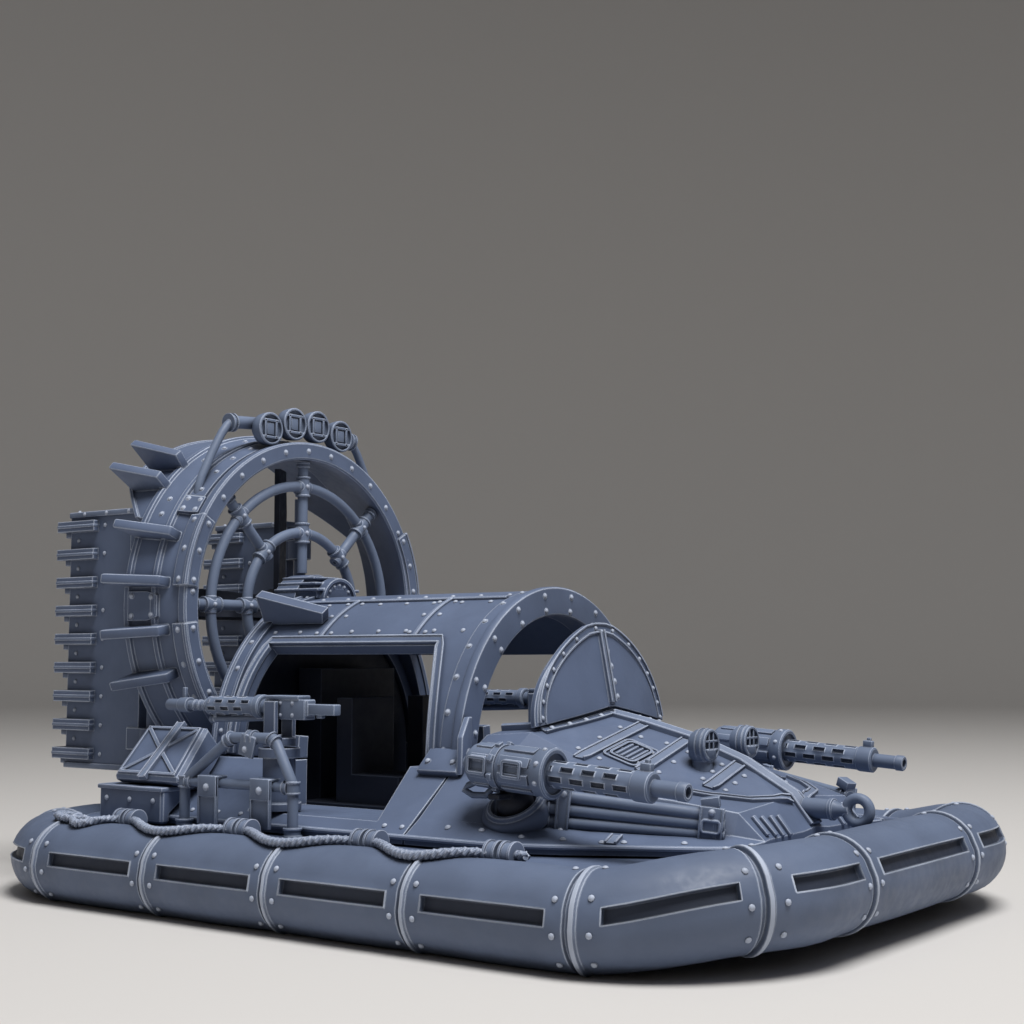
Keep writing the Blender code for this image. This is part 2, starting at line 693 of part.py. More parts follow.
def shield():
    """A petal-shaped plate, bowed forward, on the crown of the nose."""
    bm = bmesh.new()
    columns, rows = 12, 12
    grid = bmesh.ops.create_grid(bm, x_segments=columns, y_segments=rows, size=1.0)
    for vert in grid["verts"]:
        across, up = vert.co.x, (vert.co.y + 1) / 2
        up = min(up, 0.985)
        half = SHIELD_HALF * (1 - up ** 2.1) ** 0.8
        y = across * half
        foot = SHIELD_FOOT - SHIELD_FOOT_DROP * (abs(y) / SHIELD_HALF)
        x = SHIELD_X - SHIELD_BULGE * (y / SHIELD_HALF) ** 2 - SHIELD_LEAN * up
        vert.co = (x, y, foot + (SHIELD_TOP - foot) * up)
    obj = add_mesh("shield", bm)
    solid = obj.modifiers.new("Plate", "SOLIDIFY")
    solid.thickness = SHIELD_THICK * MM
    solid.offset = 0.0
    smooth(obj)
    return paint(obj, 1.05)


def duct():
    ring = turned("duct_ring", DUCT_PROFILE, (0, 0, DUCT_Z), (1, 0, 0), steps=64)
    pieces = [duct_hood()]
    for side in (-1, 1):
        for angles, outline in FINS:
            for angle in angles:
                pieces.append(duct_fin(side * angle, outline))
    fuse("duct_ring", [ring] + pieces)
    return paint(ring)


def round_shaft(x, radius, degrees):
    """A place round the fan shaft, counted from the top towards port."""
    turn = math.radians(degrees)
    return Vector((x, radius * math.sin(turn), DUCT_Z + radius * math.cos(turn)))


def duct_hood():
    """The curved plate over the outlet, its lower corners cut away on a slant."""
    sections = []
    for step in range(int(2 * HOOD_END / HOOD_STEP) + 1):
        degrees = -HOOD_END + HOOD_STEP * step
        slant = max(0.0, (abs(degrees) - HOOD_SQUARE) / (HOOD_END - HOOD_SQUARE))
        tip = HOOD_LIP[0] + (HOOD_END_X - HOOD_LIP[0]) * slant
        corners = [(HOOD_ROOT[0], HOOD_ROOT[1]), (HOOD_ROOT[0], HOOD_ROOT[2]), (tip, HOOD_LIP[2]), (tip, HOOD_LIP[1])]
        sections.append([round_shaft(x, radius, degrees) for x, radius in corners])
    return loft("duct_hood", sections)


def duct_fin(angle, outline):
    """A swept wedge standing on the barrel or the hood."""
    sideways = Matrix.Rotation(math.radians(-angle), 3, "X") @ Vector((0, FIN_THICK, 0))
    face = [round_shaft(x, radius, angle) - sideways / 2 for x, radius in outline]
    return slab("duct_fin", face, sideways)


def duct_cradle():
    """Two saddles that carry the duct on the deck."""
    low, high = (CRADLE_X[0], -CRADLE_HALF, BASE_Z), (CRADLE_X[1], CRADLE_HALF, CRADLE_TOP)
    pieces = [box("duct_cradle", low, high)]
    for side in (-1, 1):
        near, far = sorted(side * y for y in SADDLE_Y)
        pieces.append(box("saddle", (SADDLE_X[0], near, CRADLE_TOP - 1), (SADDLE_X[1], far, SADDLE_TOP)))
    base = fuse("duct_cradle", pieces)
    (fore, narrow), (aft, wide) = CRADLE_CONE
    cone = rod("cradle_cut", (fore, 0, DUCT_Z), (aft, 0, DUCT_Z), narrow + GAP, wide + GAP, sides=64)
    cut(base, [cone])
    return paint(base, 0.85)


def guard():
    pieces = []
    for radius in GUARD_RINGS:
        points = [round_shaft(GUARD_X, radius, 10.0 * (step + 0.5)) for step in range(36)]
        pieces.append(tube("guard_ring", points, GUARD_TUBE, closed=True, sides=2))
    half, proud = GUARD_COLLAR
    for spoke in range(GUARD_SPOKES):
        degrees = 360.0 * spoke / GUARD_SPOKES
        # only every second spoke goes on to the housing; the others end on the inner ring
        start_radius = GUARD_RINGS[-1] if spoke % 2 else NACELLE_RADIUS + GAP
        start = round_shaft(GUARD_X, start_radius, degrees)
        end = round_shaft(GUARD_X, DUCT_INNER - GAP, degrees)
        pieces.append(rod("guard_spoke", start, end, GUARD_TUBE, sides=8))
        for radius in GUARD_RINGS:
            inner = round_shaft(GUARD_X, radius - half, degrees)
            outer = round_shaft(GUARD_X, radius + half, degrees)
            pieces.append(rod("guard_collar", inner, outer, GUARD_TUBE + proud, sides=10))
    return paint(fuse("fan_guard", pieces))


def nacelle():
    middle = (0, 0, DUCT_Z)
    body = rod("fan_nacelle", (NACELLE_AFT, 0, DUCT_Z), (NACELLE_FORE, 0, DUCT_Z), NACELLE_RADIUS, sides=40)
    height = ARCH_TOP - ARCH_BASE
    envelope = arch_outline(ARCH_HALF + FLANGE + GAP, height + FLANGE + GAP, ARCH_BASE)
    cabin_cut = prism("nacelle_cabin_cut", envelope, CABIN_AFT - GAP - FLANGE_WIDTH - GAP, 20)
    cut(body, [cabin_cut])
    return paint(body)


def fan():
    pieces = [turned("fan_rotor", FAN_HUB, (0, 0, DUCT_Z), (1, 0, 0))]
    twist = Matrix.Rotation(math.radians(BLADE_TWIST), 3, "Z")
    for blade in range(BLADES):
        turn = Matrix.Rotation(math.tau * blade / BLADES, 3, "X") @ twist
        middle = Vector((FAN_X, 0, DUCT_Z))
        face = [middle + turn @ Vector((-BLADE_THICK / 2, across, out)) for across, out in BLADE_OUTLINE]
        pieces.append(slab("fan_blade", face, turn @ Vector((BLADE_THICK, 0, 0))))
    rotor = fuse("fan_rotor", pieces)
    put_origin(rotor, (FAN_X, 0, DUCT_Z))
    return paint(rotor, 0.6)


def rudders():
    for side, word in ((-1, "starboard"), (1, "port")):
        y = side * RUDDER_Y
        half = RUDDER_THICK / 2
        pieces = [box("rudder_plate", (RUDDER_AFT, y - half, RUDDER_BOTTOM), (RUDDER_FORE, y + half, RUDDER_TOP))]
        pitch = (RUDDER_TOP - RUDDER_BOTTOM) / TEETH
        for tooth in range(TEETH):
            z = RUDDER_BOTTOM + pitch * (tooth + 0.5)
            length, width, height = TOOTH
            low = (RUDDER_TIP, y - width / 2, z - height / 2)
            pieces.append(box("rudder_tooth", low, (RUDDER_TIP + length, y + width / 2, z + height / 2)))
        for z in (RUDDER_BOTTOM + ARM_FROM_ENDS[0], RUDDER_TOP - ARM_FROM_ENDS[1]):
            top = z + ARM_HEIGHT
            low = (RUDDER_FORE - ARM_REACH, y - ARM_HALF, z)
            pieces.append(box("rudder_arm", low, (RUDDER_POST_X, y + ARM_HALF, top)))
            pieces.append(rod("rudder_knuckle", (RUDDER_POST_X, y, z), (RUDDER_POST_X, y, top), KNUCKLE_RADIUS))
        bore = rod("rudder_bore", (RUDDER_POST_X, y, 0), (RUDDER_POST_X, y, RUDDER_TOP + 10), POST_RADIUS + GAP)
        rudder = cut(fuse("rudder_" + word, pieces), [bore])
        put_origin(rudder, (RUDDER_POST_X, y, 0))
        paint(rudder)
        post = [rod("rudder_post", (RUDDER_POST_X, y, BASE_Z), (RUDDER_POST_X, y, POST_TOP), POST_RADIUS)]
        foot_half, foot_fore, foot_top = POST_FOOT
        low = (RUDDER_POST_X - foot_half, y - foot_half, BASE_Z)
        post.append(box("post_foot", low, (RUDDER_POST_X + foot_fore, y + foot_half, BASE_Z + foot_top)))
        frame = fuse("rudder_post_" + word, post)
        cut(frame, [ring_clearance("post_ring_cut")])
        paint(frame)


def light_bar():
    points = BAR_SIDE + BAR_MIDDLE + [(x, -y, z) for x, y, z in reversed(BAR_SIDE)]
    pieces = [tube("light_bar", points, BAR_RADIUS, sides=2)]
    for y, z in LAMP_PLACES:
        pieces.append(rod("lamp", (LAMP_X[0], y, z), (LAMP_X[1], y, z), LAMP_RADIUS, sides=24))
    bar = fuse("light_bar", pieces)
    aft, fore = round_shaft(-70, 0, 0), round_shaft(-40, 0, 0)
    cut(bar, [rod("bar_cut", aft, fore, DUCT_FLANGE + GAP, sides=64)])
    return paint(bar)


def headlights():
    for side, word in ((-1, "starboard"), (1, "port")):
        x, y, z = HEADLIGHT[0], side * HEADLIGHT[1], HEADLIGHT[2]
        lamp = rod("headlight", (x + HEADLIGHT_BACK, y, z), (x + HEADLIGHT_FRONT, y, z), HEADLIGHT_RADIUS)
        stand = rod("stand", (x + 0.2, y, NOSE_SECTIONS[0][5] - 3), (x + 0.2, y, z), STAND_RADIUS)
        piece = fuse("headlight_" + word, [lamp, stand])
        cut(piece, [nose_cutter("headlight_nose_cut", up=GAP)])
        paint(piece)


def bow_guns():
    x, pivot_y, z = BOW_PIVOT
    drop = Vector((math.cos(math.radians(BOW_GUN_DROP)), 0, -math.sin(math.radians(BOW_GUN_DROP))))
    for side, word in ((-1, "starboard"), (1, "port")):
        y = side * pivot_y
        normal = Vector((0, side * SOCKET_LEAN[0], SOCKET_LEAN[1])).normalized()
        ring = turned("bow_socket_" + word, SOCKET_PROFILE, (x, side * SOCKET_Y, SOCKET_Z), normal)
        cut(ring, [nose_cutter("socket_nose_cut", up=GAP)])
        paint(ring)
        gun_at = Vector((x, side * BOW_GUN_Y, BOW_GUN_Z))
        neck_end = (x, side * (BOW_GUN_Y + NECK_END[0]), BOW_GUN_Z + NECK_END[1])
        neck = rod("neck", (x, y, z), neck_end, NECK_RADIUS)
        fork_x, fork_y, fork_low, fork_high = FORK
        low = (x - fork_x, gun_at.y - fork_y, BOW_GUN_Z + fork_low)
        fork = box("fork", low, (x + fork_x, gun_at.y + fork_y, BOW_GUN_Z + fork_high))
        mount = fuse("bow_mount_" + word, [ball("bow_ball", (x, y, z), BALL_RADIUS, rings=8), neck, fork])
        put_origin(mount, (x, y, z))
        paint(mount, 0.8)
        gun = turned("bow_gun_" + word, BOW_GUN_PROFILE, gun_at, drop)
        put_origin(gun, gun_at)
        paint(gun)


def side_guns():
    x, pivot_y, z = SIDE_PIVOT
    for side, word in ((-1, "starboard"), (1, "port")):
        y = side * pivot_y
        foot = DOOR_SILL + GAP
        foot_radius, foot_high = COLUMN_FOOT
        head_radius, head_high = COLUMN_HEAD
        neck = PEDESTAL_TOP - head_high
        column = [
            (foot, 0.0), (foot, foot_radius), (foot + foot_high, foot_radius), (foot + foot_high, COLUMN_RADIUS),
            (neck, COLUMN_RADIUS), (neck, head_radius), (PEDESTAL_TOP, head_radius), (PEDESTAL_TOP, 0.0),
        ]
        pedestal = turned("gun_pedestal_" + word, column, (x, y, 0), (0, 0, 1))
        paint(pedestal)
        pieces = [rod("side_base", (x, y, PEDESTAL_TOP + GAP), (x, y, PEDESTAL_TOP + head_high), COLUMN_RADIUS)]
        cheek_x, cheek_y = CHEEK_HALF
        for cheek in (-CHEEK_Y, CHEEK_Y):
            low = (x - cheek_x, y + cheek - cheek_y, PEDESTAL_TOP + head_high / 2)
            pieces.append(box("cheek", low, (x + cheek_x, y + cheek + cheek_y, z + CHEEK_RISE)))
        mount = fuse("side_mount_" + word, pieces)
        put_origin(mount, (x, y, PEDESTAL_TOP))
        paint(mount)
        pivot = Vector((x, y, z))
        pieces = [turned("side_gun_" + word, SIDE_GUN_PROFILE, pivot, (1, 0, 0), steps=20)]
        for block, (low, high) in (("receiver", RECEIVER), ("stock", STOCK), ("gas_lug", GAS_LUG)):
            pieces.append(box(block, pivot + Vector(low), pivot + Vector(high)))
        start, end = GAS_TUBE
        pieces.append(rod("gas_tube", pivot + Vector(start), pivot + Vector(end), GAS_RADIUS, sides=12))
        gun = fuse("side_gun_" + word, pieces)
        put_origin(gun, (x, y, z))
        paint(gun)


def pipe_racks():
    for side, word in ((-1, "starboard"), (1, "port")):
        pieces = []
        for level in range(3):
            ends = [(x, side * y, z - drop * level) for x, y, z, drop in (PIPE_AFT, PIPE_FORE)]
            pieces.append(rod("pipe", *ends, PIPE_RADIUS, sides=12))
        for x, y, low, high in CLAMPS:
            turn = Matrix.Rotation(side * math.radians(-CLAMP_TURN), 3, "Z")
            centre = Vector((x, side * y, 0))
            near, far = sorted(side * (y + offset) for offset in CLAMP_Y)
            corners = (x - CLAMP_HALF, near, low), (x + CLAMP_HALF, far, high)
            pieces.append(box("clamp", *corners, turn, centre))
        rack = fuse("pipe_rack_" + word, pieces)
        cut(rack, [nose_cutter("rack_nose_cut", aside=GAP, up=GAP)])
        paint(rack)


def side_rails():
    half, thick, strap_low, strap_top = STRAP
    for side, word in ((-1, "starboard"), (1, "port")):
        y = side * RAIL_Y
        frame = [(RAIL_AFT, y, BASE_Z)] + [(x, y, z) for x, z in RAIL_BOW] + [(RAIL_FORE, y, BASE_Z)]
        pieces = [tube("rail", frame, RAIL_RADIUS)]
        pieces.append(rod("low_rail", (RAIL_AFT, y, RAIL_LOW), (RAIL_FORE, y, RAIL_LOW), LOW_RAIL_RADIUS, sides=12))
        for x in STRAPS_X:
            inside = RAIL_Y - LOW_RAIL_RADIUS - thick / 2
            outside = RAIL_Y + LOW_RAIL_RADIUS - thick / 4
            near, far = sorted((side * outside, side * (outside + thick)))
            pieces.append(box("strap", (x - half, near, strap_low), (x + half, far, strap_top)))
            near, far = sorted((side * inside, side * (outside + thick)))
            pieces.append(box("strap_fold", (x - half, near, strap_top - thick), (x + half, far, strap_top)))
        paint(fuse("side_rail_" + word, pieces))


def stores():
    """A riveted box on each quarter, with a flat fuel can leaning on the flank above it."""
    for side, word in ((-1, "starboard"), (1, "port")):
        low, high = sorted((side * STORES_LOW[1], side * STORES_HIGH[1]))
        chest = box("stores_box_" + word, (STORES_LOW[0], low, BASE_Z), (STORES_HIGH[0], high, STORES_TOP))
        flank = [(20, 10), (CHINE_Y + GAP, 10), (CHINE_Y + GAP, CHINE_Z + GAP), (20, 29.7)]
        hull = [(y * side, z) for y, z in flank]
        cut(chest, [prism("box_hull_cut", hull, -70, 20)])
        soften(chest, 0.4)
        paint(chest)
        lean = math.radians(CAN_SLOPE)
        face = []
        for x, up in CAN_FACE:
            face.append((x, side * (CAN_FOOT[0] - up * math.cos(lean)), CAN_FOOT[1] + up * math.sin(lean)))
        inward = Vector((0, -side * math.sin(lean), -math.cos(lean))) * CAN_THICK
        can = slab("fuel_can_" + word, face, inward)
        chest_top = box("can_low_cut", (-80, -60, 10), (0, 60, STORES_TOP + GAP))
        cut(can, [chest_top, prism("can_hull_cut", hull, -70, 20)])
        soften(can, 0.6)
        paint(can)


def roof_fins():
    height = ARCH_TOP - ARCH_BASE
    turn = math.radians(ROOF_FIN_TURN)
    for side, word in ((-1, "starboard"), (1, "port")):
        foot = Vector((0, side * ARCH_HALF * math.cos(turn), ARCH_BASE + height * math.sin(turn)))
        up = Vector((0, side * math.cos(turn) / ARCH_HALF, math.sin(turn) / height)).normalized()
        sideways = up.cross(Vector((1, 0, 0))) * ROOF_FIN_THICK
        face = [foot + Vector((x, 0, 0)) + up * out - sideways / 2 for x, out in ROOF_FIN]
        fin = slab("roof_fin_" + word, face, sideways)
        over_roof = prism("fin_roof_cut", arch_outline(ARCH_HALF + GAP, height + GAP, ARCH_BASE), -60, 20)
        over_arch = arch_outline(ARCH_HALF + FLANGE + GAP, height + FLANGE + GAP, ARCH_BASE)
        cut(fin, [over_roof, prism("fin_arch_cut", over_arch, -60, CABIN_AFT)])
        paint(fin)


def tow_eye():
    x, z = TOW_EYE
    aft, wide, narrow = TOW_CONE
    cone = rod("tow_cone", (aft, 0, z), (x - TOW_RING, 0, z), wide, narrow)
    turns = [math.tau * (step + 0.5) / 18 for step in range(18)]
    points = [(x + TOW_RING * math.cos(turn), 0, z + TOW_RING * math.sin(turn)) for turn in turns]
    eye = fuse("tow_eye", [cone, tube("eye_ring", points, TOW_WIRE, closed=True, sides=2)])
    cut(eye, [nose_cutter("eye_nose_cut", fore=GAP * 3, up=RIDGE_HEIGHT + GAP * 2)])
    return paint(eye)


def ropes():
    for side, word in ((-1, "starboard"), (1, "port")):
        points = []
        runs = [ROPE_AFT] + SLEEVES_X
        for start, end in zip(runs, runs[1:]):
            for step in range(6):
                share = step / 6
                sag = math.sin(math.pi * share)
                y = side * (ROPE_Y + ROPE_SAG * sag)
                points.append((start + (end - start) * share, y, ROPE_Z - ROPE_DROP * sag))
        points.append((SLEEVES_X[-1] + ROPE_TAIL, side * ROPE_Y, ROPE_Z))
        pieces = [tube("rope", points, ROPE_RADIUS, sides=2)]
        for x in SLEEVES_X:
            pieces.append(turned("sleeve", SLEEVE_PROFILE, (x, side * ROPE_Y, ROPE_Z), (1, 0, 0), steps=14))
        rope = fuse("grab_rope_" + word, pieces)
        deck_top = box("rope_deck_cut", (-80, -60, 0), (80, 60, DECK_TOP + GAP))
        cut(rope, [ring_clearance("rope_ring_cut"), deck_top])
        paint(rope, 1.1)


def interior():
    pieces = [box("cabin_seats", *BENCH)]
    for side in (-1, 1):
        for name, (low, high) in (("seat", SEAT), ("seat_back", SEAT_BACK)):
            near, far = sorted((side * low[1], side * high[1]))
            pieces.append(box(name, (low[0], near, low[2]), (high[0], far, high[2])))
    paint(fuse("cabin_seats", pieces), 0.5)
    paint(box("engine_block", *ENGINE), 0.5)


def main():
    clear_scene()
    make_collections()
    skirt()
    deck()
    hull_sides()
    nose()
    nose_ridge()
    cabin()
    arches()
    shield()
    duct()
    duct_cradle()
    guard()
    nacelle()
    fan()
    rudders()
    light_bar()
    headlights()
    bow_guns()
    side_guns()
    pipe_racks()
    side_rails()
    stores()
    roof_fins()
    tow_eye()
    ropes()
    interior()


main()
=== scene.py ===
# %% [markdown]
# A tabletop hovercraft in bare resin
#
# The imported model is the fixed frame. It already says where every piece of the miniature sits. This
# lesson adds what the solids leave out: grooved skirt segments, rivets, straps, ropes, slotted barrels
# and the look of unpainted resin.

# %% Load the frame
import math

import bmesh
import bpy
from mathutils import Matrix, Vector, noise
from mathutils.bvhtree import BVHTree


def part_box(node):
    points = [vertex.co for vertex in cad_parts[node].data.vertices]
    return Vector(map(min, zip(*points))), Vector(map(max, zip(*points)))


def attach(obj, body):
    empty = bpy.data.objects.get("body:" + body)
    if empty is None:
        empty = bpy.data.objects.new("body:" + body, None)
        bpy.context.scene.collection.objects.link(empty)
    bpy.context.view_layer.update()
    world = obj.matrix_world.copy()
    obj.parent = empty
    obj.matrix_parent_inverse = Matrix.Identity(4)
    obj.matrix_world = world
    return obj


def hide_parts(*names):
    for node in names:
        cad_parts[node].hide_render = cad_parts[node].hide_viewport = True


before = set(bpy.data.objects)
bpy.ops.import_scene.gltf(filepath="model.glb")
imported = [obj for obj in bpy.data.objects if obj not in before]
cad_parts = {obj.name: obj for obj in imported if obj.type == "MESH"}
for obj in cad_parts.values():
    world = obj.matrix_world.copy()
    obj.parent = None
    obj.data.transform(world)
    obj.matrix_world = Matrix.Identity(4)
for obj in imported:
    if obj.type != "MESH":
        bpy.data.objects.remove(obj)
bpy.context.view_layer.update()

MM = 0.001
ring_low, ring_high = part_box("skirt_tube")
MIDDLE_X = (ring_low[0] + ring_high[0]) / 2 / MM
print("the ring's middle lies", round(MIDDLE_X, 2), "mm ahead of the origin")

# %% [markdown]
# The camera comes first, because everything else is seen through it. The picture was taken low, off the
# starboard bow, and looks slightly up. A long lens keeps the hull's lines nearly parallel.

# %% Camera
CAMERA_PLACE = (171.69, -218.21, 39.64)
CAMERA_TILT = 95.343
CAMERA_TURN = 36.400
LENS = 55.32


def add_camera():
    lens = bpy.data.cameras.new("camera")
    lens.lens = LENS
    lens.sensor_width = 36.0
    lens.clip_start = 0.01
    camera = bpy.data.objects.new("camera", lens)
    camera.location = Vector(CAMERA_PLACE) * MM
    camera.rotation_euler = (math.radians(CAMERA_TILT), 0.0, math.radians(CAMERA_TURN))
    bpy.context.scene.collection.objects.link(camera)
    bpy.context.scene.camera = camera


add_camera()
print("camera ready")

# %% [markdown]
# Bare resin is one colour, but it doesn't look flat. Sharp edges catch light and read paler, corners
# and seams hold shade, and the cast skin has a faint mottle and grain. Painting that by hand would
# take days. Here one node group works it out from the shape and paints that light and shade into the
# colour: a Bevel node compares the rounded normal with the true one to find edges, which get a painted
# highlight, and an Ambient Occlusion node finds the deep places, which get painted shade.

# %% Resin with painted edge highlights and painted shade, a shared node group


def add_socket(tree, name, way, kind, value=None):
    socket = tree.interface.new_socket(name, in_out=way, socket_type=kind)
    if value is not None:
        socket.default_value = value
    return socket


def resin_group():
    tree = bpy.data.node_groups.new("Resin grain with painted highlight and shade", "ShaderNodeTree")
    add_socket(tree, "Body", "INPUT", "NodeSocketColor", (0.16, 0.2, 0.3, 1))
    add_socket(tree, "Edge Highlight", "INPUT", "NodeSocketColor", (0.5, 0.55, 0.66, 1))
    add_socket(tree, "Recess Shade", "INPUT", "NodeSocketColor", (0.03, 0.035, 0.05, 1))
    add_socket(tree, "Edge Highlight Width", "INPUT", "NodeSocketFloat", 0.0003)
    add_socket(tree, "Color", "OUTPUT", "NodeSocketColor")
    add_socket(tree, "Roughness", "OUTPUT", "NodeSocketFloat")
    add_socket(tree, "Normal", "OUTPUT", "NodeSocketVector")
    node, link = tree.nodes.new, tree.links.new
    given, out = node("NodeGroupInput"), node("NodeGroupOutput")

    def measure(operation, *values, clamp=False):
        maths = node("ShaderNodeMath")
        maths.operation = operation
        maths.use_clamp = clamp
        for index, value in enumerate(values):
            if isinstance(value, (int, float)):
                maths.inputs[index].default_value = value
            else:
                link(value, maths.inputs[index])
        return maths.outputs[0]

    def stretch(value, low, high, bottom=0.0, top=1.0):
        ranged = node("ShaderNodeMapRange")
        ranged.interpolation_type = "SMOOTHSTEP"
        link(value, ranged.inputs["Value"])
        for name, number in (("From Min", low), ("From Max", high), ("To Min", bottom), ("To Max", top)):
            ranged.inputs[name].default_value = number
        return ranged.outputs["Result"]

    def blend(share, first, second):
        mix = node("ShaderNodeMix")
        mix.data_type = "RGBA"
        link(share, mix.inputs["Factor"])
        link(first, mix.inputs["A"])
        link(second, mix.inputs["B"])
        return mix.outputs["Result"]

    place = node("ShaderNodeTexCoord")

    def cloud(scale, detail):
        texture = node("ShaderNodeTexNoise")
        texture.inputs["Scale"].default_value = scale
        texture.inputs["Detail"].default_value = detail
        link(place.outputs["Object"], texture.inputs["Vector"])
        return texture.outputs["Fac"]

    # edges found by the Bevel node get a painted highlight
    rounded = node("ShaderNodeBevel")
    rounded.samples = 6
    link(given.outputs["Edge Highlight Width"], rounded.inputs["Radius"])
    surface = node("ShaderNodeNewGeometry")
    dot = node("ShaderNodeVectorMath")
    dot.operation = "DOT_PRODUCT"
    link(rounded.outputs["Normal"], dot.inputs[0])
    link(surface.outputs["Normal"], dot.inputs[1])
    turned = measure("SUBTRACT", 1.0, dot.outputs["Value"])
    edge = stretch(turned, 0.006, 0.07)

    # deep places found by Ambient Occlusion get painted shade
    shade = node("ShaderNodeAmbientOcclusion")
    shade.samples = 6
    shade.inputs["Distance"].default_value = 0.0022
    shade_mask = stretch(shade.outputs["AO"], 0.35, 0.95, 1.0, 0.0)
    raised = measure("MULTIPLY", edge, measure("SUBTRACT", 1.0, shade_mask, clamp=True), clamp=True)
    mottle = stretch(cloud(95.0, 3.0), 0.3, 0.7)
    broken = measure("MULTIPLY", raised, stretch(mottle, 0.0, 1.0, 0.72, 1.0))

    lighter = node("ShaderNodeHueSaturation")
    link(stretch(mottle, 0.0, 1.0, 0.93, 1.07), lighter.inputs["Value"])
    link(given.outputs["Body"], lighter.inputs["Color"])
    # darken towards the painted shade colour in deep places, then lay the painted edge highlight over it
    shaded = blend(measure("MULTIPLY", shade_mask, 0.55), lighter.outputs["Color"], given.outputs["Recess Shade"])
    link(blend(broken, shaded, given.outputs["Edge Highlight"]), out.inputs["Color"])
    link(stretch(cloud(700.0, 2.0), 0.3, 0.7, 0.46, 0.6), out.inputs["Roughness"])
    bump = node("ShaderNodeBump")
    bump.inputs["Strength"].default_value = 0.12
    bump.inputs["Distance"].default_value = 0.0001
    link(cloud(2600.0, 2.0), bump.inputs["Height"])
    link(rounded.outputs["Normal"], bump.inputs["Normal"])
    link(bump.outputs["Normal"], out.inputs["Normal"])
    return tree


RESIN_GROUP = resin_group()


# a resin mix: its body colour, with a painted highlight on edges and painted shade in deep places
def resin(name, body, edge, recess_shade, highlight_width=0.0003):
    material = bpy.data.materials.new(name)
    material.use_nodes = True
    nodes, links = material.node_tree.nodes, material.node_tree.links
    shader = nodes["Principled BSDF"]
    shader.inputs["Metallic"].default_value = 0.0
    shader.inputs["Specular IOR Level"].default_value = 0.35
    grain_and_painted_light = nodes.new("ShaderNodeGroup")
    grain_and_painted_light.node_tree = RESIN_GROUP
    for socket, value in (("Body", body), ("Edge Highlight", edge), ("Recess Shade", recess_shade)):
        grain_and_painted_light.inputs[socket].default_value = (*value, 1.0)
    grain_and_painted_light.inputs["Edge Highlight Width"].default_value = highlight_width
    links.new(grain_and_painted_light.outputs["Color"], shader.inputs["Base Color"])
    links.new(grain_and_painted_light.outputs["Roughness"], shader.inputs["Roughness"])
    links.new(grain_and_painted_light.outputs["Normal"], shader.inputs["Normal"])
    return material


# the resin is one colour: the pale edge colour is a painted highlight, the dark recess colour painted shade
BODY_BLUE = (0.114, 0.149, 0.238)
EDGE_HIGHLIGHT_COLOUR = (0.66, 0.73, 0.87)
RECESS_SHADE_COLOUR = (0.012, 0.015, 0.025)
PLATE = resin("plate_resin", BODY_BLUE, EDGE_HIGHLIGHT_COLOUR, RECESS_SHADE_COLOUR, 0.00036)
SKIRT = resin("skirt_resin", (0.115, 0.148, 0.228), EDGE_HIGHLIGHT_COLOUR, RECESS_SHADE_COLOUR, 0.00045)
# trim and fittings take a paler body than the plate resin: a painted highlight on thin raised parts
TRIM = resin("trim_painted_highlight_resin", (0.17, 0.212, 0.31), (0.66, 0.72, 0.86), RECESS_SHADE_COLOUR, 0.00024)
FITTINGS = resin("fittings_painted_highlight_resin", (0.15, 0.19, 0.28), (0.6, 0.67, 0.82), RECESS_SHADE_COLOUR, 0.0002)
# a near-black copy of the resin: painted shadow for parts that lie in shade
SHADOW = resin("painted_shadow_resin", (0.016, 0.02, 0.034), (0.06, 0.075, 0.11), (0.004, 0.005, 0.008))
# a pale copy of the resin: painted highlight on rivet heads and skirt ridge tops
RIVET_AND_RIDGE_HIGHLIGHT = resin("rivet_and_ridge_painted_highlight", (0.42, 0.47, 0.58), (0.72, 0.77, 0.88), RECESS_SHADE_COLOUR, 0.0001)
# a dark copy of the resin: painted shade on the floors of sunk slots
SLOT_PAINTED_SHADE = resin("slot_painted_shade", (0.05, 0.062, 0.095), (0.3, 0.34, 0.43), RECESS_SHADE_COLOUR)
IN_RIVET_AND_RIDGE_HIGHLIGHT, IN_SLOT_PAINTED_SHADE = 1, 2
print("resin finishes:", [m.name for m in (PLATE, SKIRT, TRIM, FITTINGS, SHADOW, RIVET_AND_RIDGE_HIGHLIGHT, SLOT_PAINTED_SHADE)])

# %% [markdown]
# Every piece below is drawn in millimetres from the middle of the skirt ring. The helpers here hold
# what repeats. A sweep draws one closed outline after another and bridges them, which gives a strap, a
# pipe or a hull rib depending on the outline. A rivet is a small flattened sphere, half sunk.

# %% Helpers: outlines, sweeps and rivets
STARBOARD, PORT = -1, 1
SIDES = ((STARBOARD, "starboard"), (PORT, "port"))


def outline(bm, points):
    verts = [bm.verts.new(point) for point in points]
    return [bm.edges.new(pair) for pair in zip(verts, verts[1:] + verts[:1])]


def skin(bm, outlines, closed=False):
    pairs = list(zip(outlines, outlines[1:]))
    if closed:
        pairs.append((outlines[-1], outlines[0]))
    for first, second in pairs:
        bmesh.ops.bridge_loops(bm, edges=first + second)
    if not closed:
        for end in (outlines[0], outlines[-1]):
            bmesh.ops.contextual_create(bm, geom=end)


def ways_along(path, closed):
    """The direction of travel at each point of a path."""
    count = len(path)
    ways = []
    for index in range(count):
        before = path[index - 1] if closed or index else path[0]
        after = path[(index + 1) % count] if closed or index < count - 1 else path[-1]
        ways.append((Vector(after) - Vector(before)).normalized())
    return ways


